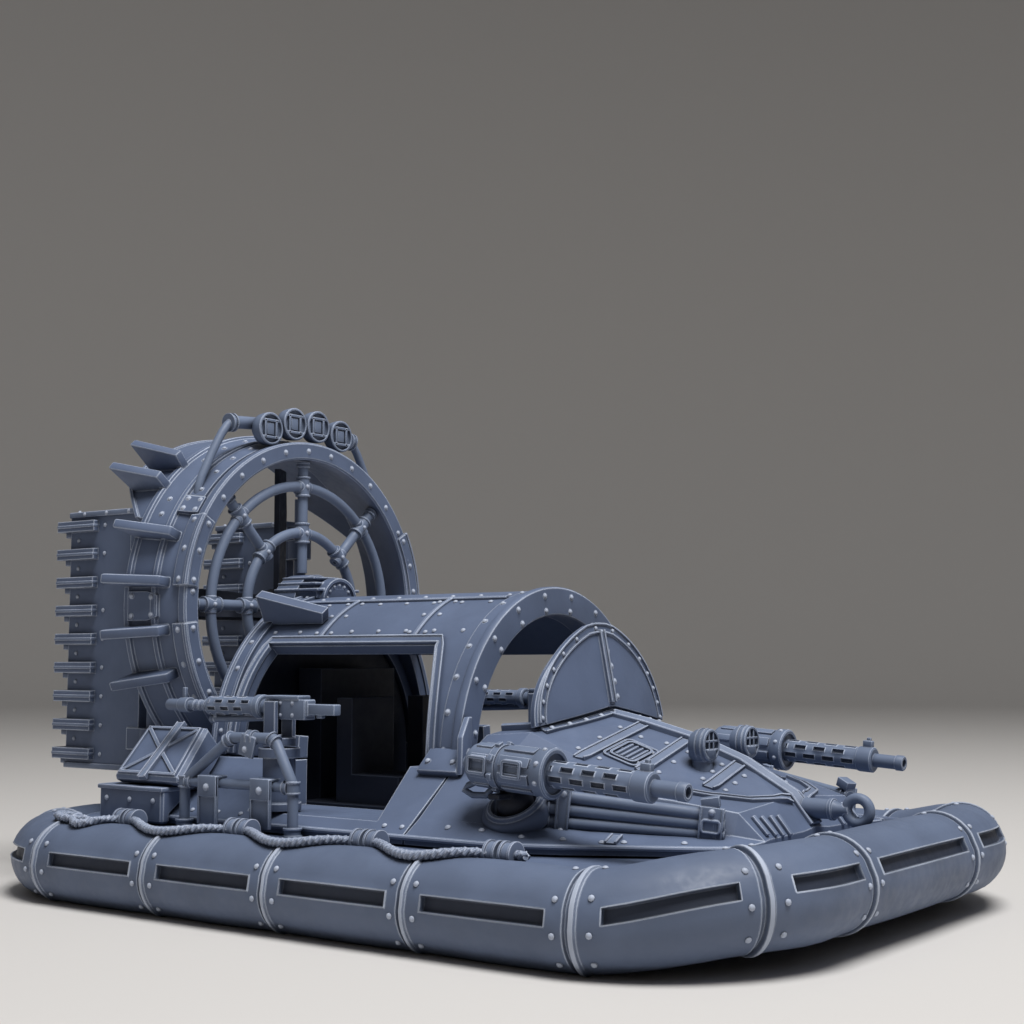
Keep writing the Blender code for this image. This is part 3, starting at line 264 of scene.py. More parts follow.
def sweep(bm, path, ups, profile, closed=False):
    """Carry a profile of (sideways, up) pairs along a path. ups is one vector or one for each point."""
    if isinstance(ups, Vector):
        ups = [ups] * len(path)
    outlines = []
    for place, way, up in zip(path, ways_along(path, closed), ups):
        side = way.cross(up).normalized()
        top = side.cross(way).normalized()
        outlines.append(outline(bm, [Vector(place) + side * a + top * b for a, b in profile]))
    skin(bm, outlines, closed)


def circle(radius, sides, start=0.0):
    turns = [math.tau * (step + start) / sides for step in range(sides)]
    return [(radius * math.cos(turn), radius * math.sin(turn)) for turn in turns]


def pipe(bm, path, radius, sides=14, closed=False):
    """A round pipe. The reference direction is whichever axis the path crosses most squarely."""
    path = [Vector(place) for place in path]
    ways = ways_along(path, closed)
    spread = [sum(abs(way[axis]) for way in ways) for axis in range(3)]
    up = Vector([float(axis == spread.index(min(spread))) for axis in range(3)])
    sweep(bm, path, up, circle(radius, sides), closed)


def flat_strip(width, height, sink=0.25):
    half = width / 2
    return [(-half, -sink), (-half, height), (half, height), (half, -sink)]


def lipped_strip(width, height, lip=0.28, rise=0.22, sink=0.25):
    """A strap with a raised lip along each edge, as cast straps on the miniature have."""
    half = width / 2
    return [
        (-half, -sink), (-half, height + rise), (-half + lip, height + rise), (-half + lip, height),
        (half - lip, height), (half - lip, height + rise), (half, height + rise), (half, -sink),
    ]


def aim(place, way):
    """A matrix that stands a shape's Z axis along a direction, at a place."""
    turn = Vector(way).to_track_quat("Z", "Y").to_matrix().to_4x4()
    return Matrix.Translation(Vector(place)) @ turn


def rivet(bm, place, way, radius=0.42):
    squash = Matrix.Diagonal((1.0, 1.0, 0.75, 1.0))
    matrix = aim(place, way) @ squash
    made = bmesh.ops.create_uvsphere(bm, u_segments=8, v_segments=5, radius=radius, matrix=matrix)["verts"]
    # rivet heads take the pale mix, a painted highlight
    for face in {face for vert in made for face in vert.link_faces}:
        face.material_index = IN_RIVET_AND_RIDGE_HIGHLIGHT


def block(bm, low, high, turn=None, about=(0, 0, 0), bevel=0.18):
    """A box with softened edges."""
    made = bmesh.ops.create_cube(bm, size=1.0)["verts"]
    bmesh.ops.scale(bm, vec=Vector(high) - Vector(low), verts=made)
    bmesh.ops.translate(bm, vec=(Vector(high) + Vector(low)) / 2, verts=made)
    edges = {edge for vert in made for edge in vert.link_edges}
    if bevel:
        softened = bmesh.ops.bevel(
            bm, geom=list(edges), offset=bevel, offset_type="OFFSET", affect="EDGES", segments=2, profile=0.5,
            material=-1,
        )
        made = list({*softened["verts"], *[vert for vert in made if vert.is_valid]})
    if turn:
        bmesh.ops.rotate(bm, cent=about, matrix=turn, verts=made)
    return made


def turn_profile(bm, profile, place, way, steps=40):
    """Spin (along, radius) pairs round a line."""
    verts = [bm.verts.new((radius, 0, along)) for along, radius in profile]
    edges = [bm.edges.new(pair) for pair in zip(verts, verts[1:])]
    if profile[0][1] and profile[-1][1]:
        edges.append(bm.edges.new((verts[-1], verts[0])))
    before = set(bm.verts) - set(verts)
    bmesh.ops.spin(
        bm, geom=verts + edges, cent=(0, 0, 0), axis=(0, 0, 1), angle=math.tau, steps=steps, use_merge=True
    )
    made = [vert for vert in bm.verts if vert not in before]
    bmesh.ops.remove_doubles(bm, verts=made, dist=0.0005)
    made = [vert for vert in bm.verts if vert not in before]
    bmesh.ops.transform(bm, matrix=aim(place, way), verts=made)
    return made


def prism(bm, points, push):
    """Push a flat outline of 3-D points along a vector."""
    face = bm.faces.new([bm.verts.new(point) for point in points])
    pushed = bmesh.ops.extrude_face_region(bm, geom=[face])["geom"]
    moved = [item for item in pushed if isinstance(item, bmesh.types.BMVert)]
    bmesh.ops.translate(bm, vec=push, verts=moved)
    return list(face.verts) + moved


def soften(bm, verts, width, segments=2):
    """Bevel every sharp edge among some vertices."""
    edges = {edge for vert in verts for edge in vert.link_edges}
    sharp = [edge for edge in edges if len(edge.link_faces) == 2 and edge.calc_face_angle(0.0) > 0.3]
    bmesh.ops.bevel(
        bm, geom=sharp, offset=width, offset_type="OFFSET", affect="EDGES", segments=segments, profile=0.5,
        material=-1, clamp_overlap=True,
    )


def finish(name, bm, material=PLATE, body="hull", stands_for=(), sharp=38):
    """Turn a bmesh in millimetres into a finished piece that rides on a body of the frame."""
    bmesh.ops.recalc_face_normals(bm, faces=bm.faces)
    bmesh.ops.translate(bm, vec=(MIDDLE_X, 0, 0), verts=bm.verts)
    bmesh.ops.scale(bm, vec=(MM, MM, MM), verts=bm.verts)
    mesh = bpy.data.meshes.new(name)
    bm.to_mesh(mesh)
    bm.free()
    mesh.shade_smooth()
    mesh.set_sharp_from_angle(angle=math.radians(sharp))
    # extra slots: painted highlight for rivets and ridges, painted shade for slot floors
    for look in (material, RIVET_AND_RIDGE_HIGHLIGHT, SLOT_PAINTED_SHADE):
        mesh.materials.append(look)
    piece = bpy.data.objects.new(name, mesh)
    bpy.context.scene.collection.objects.link(piece)
    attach(piece, body)
    if stands_for:
        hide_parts(*stands_for)
    triangles = sum(len(face.vertices) - 2 for face in mesh.polygons)
    print(f"{name}: {triangles} triangles on {body}")
    return piece


def surface_of(node):
    """A search tree of a frame node's mesh, in millimetres from the ring's middle."""
    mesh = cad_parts[node].data
    points = [vert.co / MM - Vector((MIDDLE_X, 0, 0)) for vert in mesh.vertices]
    return BVHTree.FromPolygons(points, [tuple(face.vertices) for face in mesh.polygons])


def land(tree, start, way):
    """Where a ray from start first meets a surface, and which way that surface faces."""
    place, normal, _, _ = tree.ray_cast(Vector(start), Vector(way).normalized())
    return place, normal


print("helpers ready")

# %% [markdown]
# The skirt is a fat tube bent into a rounded rectangle, made of short segments. Each seam is a groove
# with a raised lip beside it, and each segment has one long sunk slot. A modifier stack would smear
# these details, so the tube is a sweep whose outline changes size from station to station, and the
# slots are pushed in afterwards by insetting the right faces.

# %% Skirt: the track of the ring
TUBE_RADIUS = 6.6
TUBE_HEIGHT = 6.4
BOW_RISE = 3.0
TRACK_X, TRACK_Y, TRACK_TURN = 70.9, 48.4, 21.9
SEAMS_X = [-26.2, -0.2, 25.8]
# degrees round each corner, counted from the long side
CORNER_SEAMS = [7.9, 59.2]
SEAM_Y = 18.8
RUN_X, RUN_Y, RUN_TURN = 2 * (TRACK_X - TRACK_TURN), 2 * (TRACK_Y - TRACK_TURN), math.pi / 2 * TRACK_TURN
TRACK_LENGTH = 2 * (RUN_X + RUN_Y + 2 * RUN_TURN)


def ease(value):
    value = min(1.0, max(0.0, value))
    return value * value * (3 - 2 * value)


def track(distance):
    """(x, y, outward x, outward y) of the ring's centre line, going forward along starboard first."""
    distance %= TRACK_LENGTH
    inner_x, inner_y = TRACK_X - TRACK_TURN, TRACK_Y - TRACK_TURN
    legs = [
        (RUN_X, (-inner_x, -TRACK_Y), (1, 0), (0, -1)), (RUN_TURN, (inner_x, -inner_y), -90, None),
        (RUN_Y, (TRACK_X, -inner_y), (0, 1), (1, 0)), (RUN_TURN, (inner_x, inner_y), 0, None),
        (RUN_X, (inner_x, TRACK_Y), (-1, 0), (0, 1)), (RUN_TURN, (-inner_x, inner_y), 90, None),
        (RUN_Y, (-TRACK_X, inner_y), (0, -1), (-1, 0)), (RUN_TURN, (-inner_x, -inner_y), 180, None),
    ]
    for length, start, way, out in legs:
        if distance <= length:
            if out is not None:
                return start[0] + way[0] * distance, start[1] + way[1] * distance, *out
            turn = math.radians(way) + distance / TRACK_TURN
            out = (math.cos(turn), math.sin(turn))
            return start[0] + TRACK_TURN * out[0], start[1] + TRACK_TURN * out[1], *out
        distance -= length
    return track(0.0)


def rise(x):
    """How far the ring has lifted at x: 0 along the sides, 1 at the bow."""
    return ease((x - 49.5) / (TRACK_X - 49.5))


def seam_distances():
    """How far along the track each seam lies, in the order of travel."""
    from_short = [90 - seam for seam in reversed(CORNER_SEAMS)]
    found, start = [], 0.0
    for run, marks, turns in (
        (RUN_X, SEAMS_X, CORNER_SEAMS), (RUN_Y, [-SEAM_Y, SEAM_Y], from_short),
        (RUN_X, [-x for x in reversed(SEAMS_X)], CORNER_SEAMS), (RUN_Y, [-SEAM_Y, SEAM_Y], from_short),
    ):
        found += [start + run / 2 + mark for mark in marks]
        found += [start + run + TRACK_TURN * math.radians(turn) for turn in turns]
        start += run + RUN_TURN
    return found


SEAMS = seam_distances()
print(len(SEAMS), "seams on a track of", round(TRACK_LENGTH), "mm")

# %% Skirt: the grooved tube
SLOT_LOW, SLOT_HIGH = -1.5, 20.5
BOW_TWIST = 13.5
RIDGE_RISE = 0.36
SEAM_PROFILE = [(-1.0, 0.0), (-0.85, -0.4), (-0.4, -0.4), (-0.2, RIDGE_RISE), (0.24, RIDGE_RISE), (0.5, 0.0)]
SLOT_MARGIN = 2.9
STATION = 2.6


def ring_point(distance, degrees, radius):
    """A point on the skirt: degrees count up from the outward horizontal."""
    x, y, out_x, out_y = track(distance)
    turn = math.radians(degrees + BOW_TWIST * rise(x))
    reach = radius * math.cos(turn)
    height = TUBE_HEIGHT + BOW_RISE * rise(x) + radius * math.sin(turn)
    return Vector((x + out_x * reach, y + out_y * reach, max(0.0, height)))


def ring_facing(distance, degrees):
    x, y, out_x, out_y = track(distance)
    turn = math.radians(degrees + BOW_TWIST * rise(x))
    return Vector((out_x * math.cos(turn), out_y * math.cos(turn), math.sin(turn)))


def skirt_stations():
    """(distance, change of radius, inside a slot) for every outline of the tube."""
    stations = []
    for seam, following in zip(SEAMS, SEAMS[1:] + [SEAMS[0] + TRACK_LENGTH]):
        stations += [(seam + offset, change, False) for offset, change in SEAM_PROFILE]
        start, end = seam + SLOT_MARGIN, following - SLOT_MARGIN
        count = max(3, round((end - start) / STATION))
        for step in range(count + 1):
            share = step / count
            bulge = 0.14 * math.sin(math.pi * share) + 0.05 * noise.noise(Vector((seam, 7 * share, 0)))
            stations.append((start + (end - start) * share, bulge, step < count))
    return stations


def add_skirt():
    bm = bmesh.new()
    spread = 360.0 - (SLOT_HIGH - SLOT_LOW)
    angles = [SLOT_LOW] + [SLOT_HIGH + spread * step / 39 for step in range(39)]
    outlines, in_slot, on_ridge = [], [], []
    for distance, change, slotted in skirt_stations():
        radius = TUBE_RADIUS + change
        on_ridge.append(change == RIDGE_RISE)
        outlines.append(outline(bm, [ring_point(distance, angle, radius) for angle in angles]))
        in_slot.append(slotted)
    skin(bm, outlines, closed=True)
    bmesh.ops.recalc_face_normals(bm, faces=bm.faces)
    slot_faces = []
    for index, slotted in enumerate(in_slot):
        following = (index + 1) % len(outlines)
        near, far = outlines[index][0], outlines[following][0]
        # faces along the top of each seam ridge take the pale mix, a painted highlight
        if on_ridge[index] and on_ridge[following]:
            ends = {vert for edge in outlines[following] for vert in edge.verts}
            for face in {face for edge in outlines[index] for face in edge.link_faces}:
                if ends.intersection(face.verts):
                    face.material_index = IN_RIVET_AND_RIDGE_HIGHLIGHT
        if slotted:
            slot_faces += [face for face in near.link_faces if face in far.link_faces]
    bmesh.ops.inset_region(bm, faces=slot_faces, thickness=0.22, depth=0.14, use_even_offset=True)
    bmesh.ops.inset_region(bm, faces=slot_faces, thickness=0.1, depth=-0.95, use_even_offset=True)
    # slot floors take the dark mix, a painted shade
    for face in slot_faces:
        face.material_index = IN_SLOT_PAINTED_SHADE
    return finish("skirt", bm, SKIRT, stands_for=["skirt_tube"], sharp=32)


add_skirt()

# %% [markdown]
# Rivets are counted in hundreds, so each has only a few dozen faces. Their faces carry the paler mix,
# because a rivet's head catches light all round.

# %% Skirt: rivets beside the seams
RIVET_ANGLES = [31.0, -9.0, -46.0, 84.0]
RIVET_OFFSETS = [-2.1, 1.9]


def add_skirt_rivets():
    bm = bmesh.new()
    for seam in SEAMS:
        for offset in RIVET_OFFSETS:
            for angle in RIVET_ANGLES:
                place = ring_point(seam + offset, angle, TUBE_RADIUS + 0.02)
                rivet(bm, place, ring_facing(seam + offset, angle), 0.46)
    return finish("skirt_rivets", bm, TRIM)


add_skirt_rivets()

# %% [markdown]
# Many solids of the frame already have the right shape: deck, flanks, nose, pedestals. They stay as they
# are and only take the resin finish. What lies deep in the cabin or behind the guard gets the darker
# mix, a painted shadow, since almost nothing but shade shows there.

# %% Resin on the solids that stay
# these solids take the near-black resin, a painted shadow where they lie deep in shade
DEEP_NODES = ("cabin_seats", "engine_block", "rear_bulkhead", "duct_cradle", "fan_rotor")


def coat(node, material):
    """Give a frame node a finish in its object's own slots, and leave its mesh alone."""
    for place in node.material_slots:
        place.link = "OBJECT"
        place.material = material


for node_name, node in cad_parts.items():
    coat(node, SHADOW if node_name in DEEP_NODES else PLATE)
slot_counts = {len(node.material_slots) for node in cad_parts.values()}
print(len(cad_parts), "solids coated, each with", slot_counts, "material slot")

# %% [markdown]
# The cabin is half a barrel vault with a long window on each side. A sheet is laid over it with a row
# of points at every edge of a window, the window faces are taken out, and what is left gets a
# thickness. The window widens towards its sill, so its two ends drift apart on the way down.

# %% Cabin: the vault and its windows
ARCH_HALF, ARCH_BASE, ARCH_HEIGHT = 26.5, 23.3, 27.9
CABIN_AFT, CABIN_FORE, SHELL = -37.7, 9.3, 2.2
WINDOW_AFT, WINDOW_FORE, WINDOW_LOW, WINDOW_HIGH = -34.2, 3.0, 27.0, 41.9
DOOR_AFT = -21.0
DRIFT_FORE, DRIFT_AFT = 4.2, -1.8
FRAME_DEGREES = 44.0


def vault(x, degrees, out=0.0):
    """A point on the vault: degrees run from the starboard foot over the crest to port."""
    turn = math.radians(degrees)
    return Vector((x, -(ARCH_HALF + out) * math.cos(turn), ARCH_BASE + (ARCH_HEIGHT + out) * math.sin(turn)))


def vault_facing(degrees):
    turn = math.radians(degrees)
    return Vector((0, -math.cos(turn) / ARCH_HALF, math.sin(turn) / ARCH_HEIGHT)).normalized()


def vault_degrees(z):
    return math.degrees(math.asin(min(1.0, max(0.0, (z - ARCH_BASE) / ARCH_HEIGHT))))


def drift(degrees):
    """How much of its full sideways shift a window's end has at a height: 0 at the top, 1 at the sill."""
    return max(0.0, 1 - (min(degrees, 180 - degrees) / FRAME_DEGREES) ** 2.3)


def spread(marks, step):
    """The given marks with even stops between them, no further apart than step."""
    stops = [marks[0]]
    for start, end in zip(marks, marks[1:]):
        count = math.ceil(abs(end - start) / step - 1e-6)
        stops += [start + (end - start) * part / count for part in range(1, count + 1)]
    return stops


def sheet_over(bm, across, along, place):
    """A sheet with a point for each pair of stations; place turns a pair into a point in space."""
    columns, rows = len(across) - 1, len(along) - 1
    made = bmesh.ops.create_grid(bm, x_segments=columns, y_segments=rows, size=1.0)["verts"]
    for vert in made:
        column, row = round((vert.co.x + 1) / 2 * columns), round((vert.co.y + 1) / 2 * rows)
        vert.co = place(across[column], along[row])
    return made


def is_open(place):
    window = WINDOW_AFT < place.x < WINDOW_FORE and WINDOW_LOW < place.z < WINDOW_HIGH
    return window or (DOOR_AFT < place.x < WINDOW_FORE and place.z < WINDOW_LOW)


def drifted(x, degrees):
    """Slide a station along the vault with the nearer end of the window."""
    if x > DOOR_AFT:
        end, edge, shift = WINDOW_FORE, CABIN_FORE, DRIFT_FORE
    else:
        end, edge, shift = WINDOW_AFT, CABIN_AFT, DRIFT_AFT
    inside = abs(x - DOOR_AFT) < abs(end - DOOR_AFT)
    reach = (x - DOOR_AFT) / (end - DOOR_AFT) if inside else (edge - x) / (edge - end)
    return x + shift * drift(degrees) * reach


def add_cabin():
    bm = bmesh.new()
    low, high = vault_degrees(WINDOW_LOW), vault_degrees(WINDOW_HIGH)
    degrees = spread([0, low, high, 180 - high, 180 - low, 180], 3.0)
    stations = spread([CABIN_AFT, WINDOW_AFT, DOOR_AFT, WINDOW_FORE, CABIN_FORE], 14.0)
    sheet_over(bm, stations, degrees, vault)
    open_faces = [face for face in bm.faces if is_open(face.calc_center_median())]
    bmesh.ops.delete(bm, geom=open_faces, context="FACES")
    for vert in bm.verts:
        vert.co.x = drifted(vert.co.x, vault_degrees(vert.co.z))
    bm.normal_update()
    crest = max(bm.faces, key=lambda face: face.calc_center_median().z)
    if crest.normal.z < 0:
        bmesh.ops.reverse_faces(bm, faces=bm.faces)
    bmesh.ops.solidify(bm, geom=list(bm.faces), thickness=SHELL)
    heights = [vert.co.z for vert in bm.verts]
    print("vault tops out at", round(max(heights), 2), "mm, and should at", ARCH_BASE + ARCH_HEIGHT)
    return finish("cabin_shell", bm, PLATE, stands_for=["cabin_roof", "cabin_side_starboard", "cabin_side_port"])


def arch_band(bm, profile, start=0.0, end=180.0, step=2.5):
    """Carry an (x, outward) profile along the vault."""
    outlines = []
    for degrees in spread([start, end], step):
        outlines.append(outline(bm, [vault(x, degrees, out) for x, out in profile]))
    skin(bm, outlines)


add_cabin()

# %% Cabin: arches, roof beads, window frames and their rivets
FRONT_ARCH = [
    (9.2, -4.2), (9.2, 0.05), (11.6, 0.05), (11.8, 0.45), (12.05, 0.6), (13.05, 0.6), (13.35, 0.4), (13.35, -4.0),
    (13.1, -4.2),
]
REAR_ARCH = [
    (-41.6, -4.2), (-41.6, 0.4), (-41.3, 0.75), (-40.7, 0.75), (-40.5, 0.35), (-38.5, 0.35), (-38.3, 0.6),
    (-37.6, 0.6), (-37.6, -4.2),
]
FRAME_FORE, FRAME_AFT = 3.5, -34.8
FRAME_STRIP = [
    (-0.85, -0.3), (-0.85, 0.62), (-0.6, 0.62), (-0.5, 0.4), (0.5, 0.4), (0.6, 0.62), (0.85, 0.62), (0.85, -0.3),
]
BEAD = [(-0.42, -0.2), (-0.42, 0.3), (-0.25, 0.45), (0.25, 0.45), (0.42, 0.3), (0.42, -0.2)]
BEAD_DEGREES = 71.0
CROSS_BEADS = [-23.7, -2.7]
RIVET = 0.45


def add_arches():
    bm = bmesh.new()
    arch_band(bm, FRONT_ARCH)
    for step in range(10):
        degrees = 90 + 17.5 * (step - 4.5)
        for out in (-3.3, -0.8):
            rivet(bm, vault(13.35, degrees, out), (1, 0, 0), RIVET)
    for step in range(15):
        degrees = 90 + 12.2 * (step - 7)
        rivet(bm, vault(9.9, degrees, 0.05), vault_facing(degrees), RIVET)
    finish("front_arch_band", bm, PLATE, stands_for=["front_arch"])
    bm = bmesh.new()
    arch_band(bm, REAR_ARCH)
    for step in range(15):
        degrees = 8 + 164 * step / 14
        rivet(bm, vault(-39.5, degrees, 0.35), vault_facing(degrees), RIVET)
    finish("rear_arch_band", bm, PLATE, stands_for=["rear_arch"])


def add_roof_beads():
    """Raised beads between the roof's panels, with rivets on both sides of them."""
    bm = bmesh.new()
    for side, _ in SIDES:
        high, low = BEAD_DEGREES, FRAME_DEGREES + 1.5
        if side == PORT:
            high, low = 180 - high, 180 - low
        path = spread([CABIN_AFT + 0.1, CABIN_FORE - 0.2], 8.0)
        sweep(bm, [vault(x, high) for x in path], vault_facing(high), BEAD)
        for x in CROSS_BEADS:
            stops = spread([low, high], 3.0)
            sweep(bm, [vault(x, degrees) for degrees in stops], [vault_facing(degrees) for degrees in stops], BEAD)
            for share in (0.1, 0.5, 0.9):
                degrees = low + (high - low) * share
                for aside in (-1.7, 1.7):
                    rivet(bm, vault(x + aside, degrees), vault_facing(degrees), RIVET)
        inward = 1 if side == STARBOARD else -1
        for step in range(8):
            x = -35.6 + 6.05 * step
            if min(abs(x - bead) for bead in CROSS_BEADS) > 2.6:
                rivet(bm, vault(x, high - 3.4 * inward), vault_facing(high), RIVET)
                rivet(bm, vault(x, low + 3.2 * inward), vault_facing(low), RIVET)
            rivet(bm, vault(x + 1.5, high + 4.0 * inward), vault_facing(high), RIVET)
    return finish("roof_beads", bm, TRIM)


def add_window_frames():
    bm = bmesh.new()
    for side, _ in SIDES:
        upward, downward = spread([0.5, FRAME_DEGREES], 3.0), spread([FRAME_DEGREES, 0.5], 3.0)[1:]
        path = [(FRAME_FORE + DRIFT_FORE * drift(degrees), degrees) for degrees in upward]
        path += [(x, FRAME_DEGREES) for x in spread([FRAME_FORE, FRAME_AFT], 8.0)[1:]]
        path += [(FRAME_AFT + DRIFT_AFT * drift(degrees), degrees) for degrees in downward]
        turned = [(x, degrees if side == STARBOARD else 180 - degrees) for x, degrees in path]
        sweep(bm, [vault(*spot) for spot in turned], [vault_facing(spot[1]) for spot in turned], FRAME_STRIP)
    return finish("window_frames", bm, PLATE)


def add_arch_feet():
    """A folded plate under each foot of the front arch, with a raked gusset ahead of it."""
    bm = bmesh.new()
    for side, _ in SIDES:
        flap = [(25.7, 25.9), (26.9, 25.9), (30.4, 22.7), (29.6, 21.8)]
        made = prism(bm, [(7.7, side * y, z) for y, z in flap], (7.7, 0, 0))
        soften(bm, made, 0.2)
        rake = [(0.0, 22.8), (1.0, 22.2), (0.9, 27.9), (0.3, 30.8), (0.0, 30.8)]
        points = [(13.4 + 2.0 * share, side * (25.0 + 5.2 * share), z) for share, z in rake]
        soften(bm, prism(bm, points, (0.85, -side * 0.33, 0)), 0.2)
        for x in (9.0, 13.9):
            rivet(bm, (x, side * 29.1, 24.1), (0, side * 0.66, 0.75), RIVET)
    return finish("arch_feet", bm, PLATE)


add_arches()
add_roof_beads()
add_window_frames()
add_arch_feet()

# %% [markdown]
# Behind the cabin stands the duct: a barrel that flares aft, with a flange in front, a hood over its
# outlet and swept wedges around it. Plates are folded over the flange's edge, so each one is swept as
# an L round part of the circle.

# %% Duct
DUCT_Z, DUCT_FORE, DUCT_AFT = 49.4, -43.8, -57.5
DUCT_INNER, DUCT_NARROW, DUCT_WIDE, FLANGE = 28.2, 30.7, 33.4, 31.5


def barrel(x):
    """The flaring barrel's outer radius."""
    return DUCT_NARROW + (DUCT_WIDE - DUCT_NARROW) * (-46.0 - x) / 11.0


DUCT_PROFILE = [
    (DUCT_AFT, 31.4), (DUCT_AFT, 33.3), (-57.2, 33.75), (-56.2, 33.7), (-56.0, barrel(-56.0)), (-51.7, barrel(-51.7)),
    (-51.5, barrel(-51.5) + 0.5), (-50.7, barrel(-50.7) + 0.5), (-50.5, barrel(-50.5)), (-46.2, DUCT_NARROW),
    (-45.8, FLANGE - 0.3), (-45.5, FLANGE), (-44.1, FLANGE), (DUCT_FORE, FLANGE - 0.3), (DUCT_FORE, DUCT_INNER + 0.3),
    (DUCT_FORE - 0.3, DUCT_INNER), (-46.0, DUCT_INNER),
]
# degrees up from the horizontal, then x and radius
FINS = [
    ([51.0, 41.0], [(-56.0, 32.8), (-56.0, 36.3), (-66.5, 39.7), (-64.8, 32.9)]),
    ([22.5, 6.8, -8.4, -22.8], [(-48.3, 30.9), (-48.3, 33.8), (-59.0, 38.0), (-57.2, 32.8)]),
]
FIN_THICK = 1.8
HOOD_LOW, HOOD_SQUARE = 28.0, 44.0
HOOD_LIP = -68.0
# degrees from the horizontal on each side
FOLDED_PLATES = [(5.7, 30.0), (-33.0, -6.4)]
SQUARE_PLATE = (31.0, 37.5)


def duct_point(x, degrees, radius, side=STARBOARD):
    """A point round the duct: degrees count up from the horizontal on one side."""
    turn = math.radians(degrees)
    return Vector((x, side * radius * math.cos(turn), DUCT_Z + radius * math.sin(turn)))


def duct_facing(degrees, side=STARBOARD):
    return duct_point(0, degrees, 1.0, side) - Vector((0, 0, DUCT_Z))


def beside_barrel(x, up, side):
    """A point just off the barrel's flank, by its height over the duct's middle."""
    return Vector((x, side * math.sqrt((barrel(x) + 0.6) ** 2 - up * up), DUCT_Z + up - 0.4))


def duct_band(bm, profile, start, end, side, step=3.0):
    outlines = []
    for degrees in spread([start, end], step):
        outlines.append(outline(bm, [duct_point(x, degrees, radius, side) for x, radius in profile]))
    skin(bm, outlines)


def add_hood(bm):
    """The curved plate over the outlet, its lower corners cut on a slant, with a rolled lip."""
    outlines = []
    for degrees in spread([HOOD_LOW, HOOD_SQUARE, 180 - HOOD_SQUARE, 180 - HOOD_LOW], 2.5):
        slant = max(0.0, 1 - (min(degrees, 180 - degrees) - HOOD_LOW) / (HOOD_SQUARE - HOOD_LOW))
        lip = HOOD_LIP + (-59.3 - HOOD_LIP) * slant
        profile = [(-56.8, 31.6), (-56.8, 33.3), (lip + 1.0, 33.5), (lip + 0.9, 33.85), (lip, 33.85), (lip, 31.9)]
        outlines.append(outline(bm, [duct_point(x, degrees, radius) for x, radius in profile]))
    skin(bm, outlines)


def add_fold(bm, start, end, side):
    """A plate folded over the flange, riveted on both faces."""
    fold = [(-46.9, 30.5), (-46.9, 31.8), (-44.0, 31.85), (-43.45, 31.5), (-43.45, 29.0), (-43.9, 29.0), (-43.9, 30.3)]
    crest = [(-44.2, 31.7), (-44.2, 32.05), (-43.55, 32.05), (-43.25, 31.75), (-43.25, 31.4), (-43.9, 31.4)]
    duct_band(bm, fold, start, end, side)
    duct_band(bm, crest, start, end, side)
    for degrees in (start + 2, (start + end) / 2, end - 2):
        rivet(bm, duct_point(-45.6, degrees, 31.8, side), duct_facing(degrees, side), RIVET)
        rivet(bm, duct_point(-43.45, degrees, 30.1, side), (1, 0, 0), RIVET)


def add_duct():
    bm = bmesh.new()
    turn_profile(bm, DUCT_PROFILE, (0, 0, DUCT_Z), (1, 0, 0), 144)
    add_hood(bm)
    for step in range(30):
        rivet(bm, duct_point(DUCT_FORE, 12 * step + 4, 29.8), (1, 0, 0), RIVET)
    for side, _ in SIDES:
        for plate in FOLDED_PLATES:
            add_fold(bm, *plate, side)
        duct_band(bm, [(-50.0, 30.2), (-50.0, 32.1), (-46.7, 31.4), (-46.7, 30.2)], 38.0, 88.0, side)
        for degrees in (41, 50, 59, 68, 77, 86):
            rivet(bm, duct_point(-48.4, degrees, 31.75, side), duct_facing(degrees, side), RIVET)
        start, end = SQUARE_PLATE
        duct_band(bm, [(-50.4, 30.2), (-50.4, 32.5), (-46.0, 31.6), (-46.0, 30.2)], start, end, side)
        for degrees in (start + 1.3, end - 1.3):
            for x in (-49.5, -46.9):
                rivet(bm, duct_point(x, degrees, barrel(x) + 0.65, side), duct_facing(degrees, side), RIVET)
        for degrees in (30, 36, 56, 66, 76, 86):
            rivet(bm, duct_point(-54.0, degrees, barrel(-54.0), side), duct_facing(degrees, side), RIVET)
        for angles, points in FINS:
            for degrees in angles:
                turn = math.radians(degrees)
                aside = Vector((0, -side * math.sin(turn), math.cos(turn))) * FIN_THICK
                fin = [duct_point(x, degrees, radius, side) - aside / 2 for x, radius in points]
                soften(bm, prism(bm, fin, aside), 0.32)
        hatch = [(-56.2, -2.6), (-56.2, 2.6), (-52.2, 2.6), (-50.2, 1.9), (-50.2, -1.9), (-52.2, -2.6)]
        prism(bm, [beside_barrel(x, up, side) for x, up in hatch], (0, -side * 1.2, 0))
        for x, up in ((-55.4, 1.8), (-55.4, -1.8), (-51.4, 1.6), (-51.4, -1.6)):
            rivet(bm, beside_barrel(x, up, side), (0, side, 0), RIVET)
    return finish("duct", bm, PLATE, stands_for=["duct_ring"], sharp=34)


add_duct()

# %% Guard in front of the fan, and the motor housing
GUARD_X, GUARD_TUBE, GUARD_RINGS = -46.3, 0.98, [23.2, 14.3]
NACELLE_RADIUS = 6.3
HOUSING_Z = 50.1
# fore end, half width and top of each louvre
LOUVRES = [(-37.2, 5.4, 52.6), (-38.6, 4.4, 53.8), (-40.2, 3.2, 54.9)]


def collar(bm, place, way, radius, half, rim=0.22, lip=0.45, core=0.4):
    """A sleeve round a pipe, with a raised rim at each end."""
    profile = [
        (-half, core), (-half, radius + rim), (-half + lip, radius + rim), (-half + lip, radius),
        (half - lip, radius), (half - lip, radius + rim), (half, radius + rim), (half, core),
    ]
    turn_profile(bm, profile, place, way, 20)


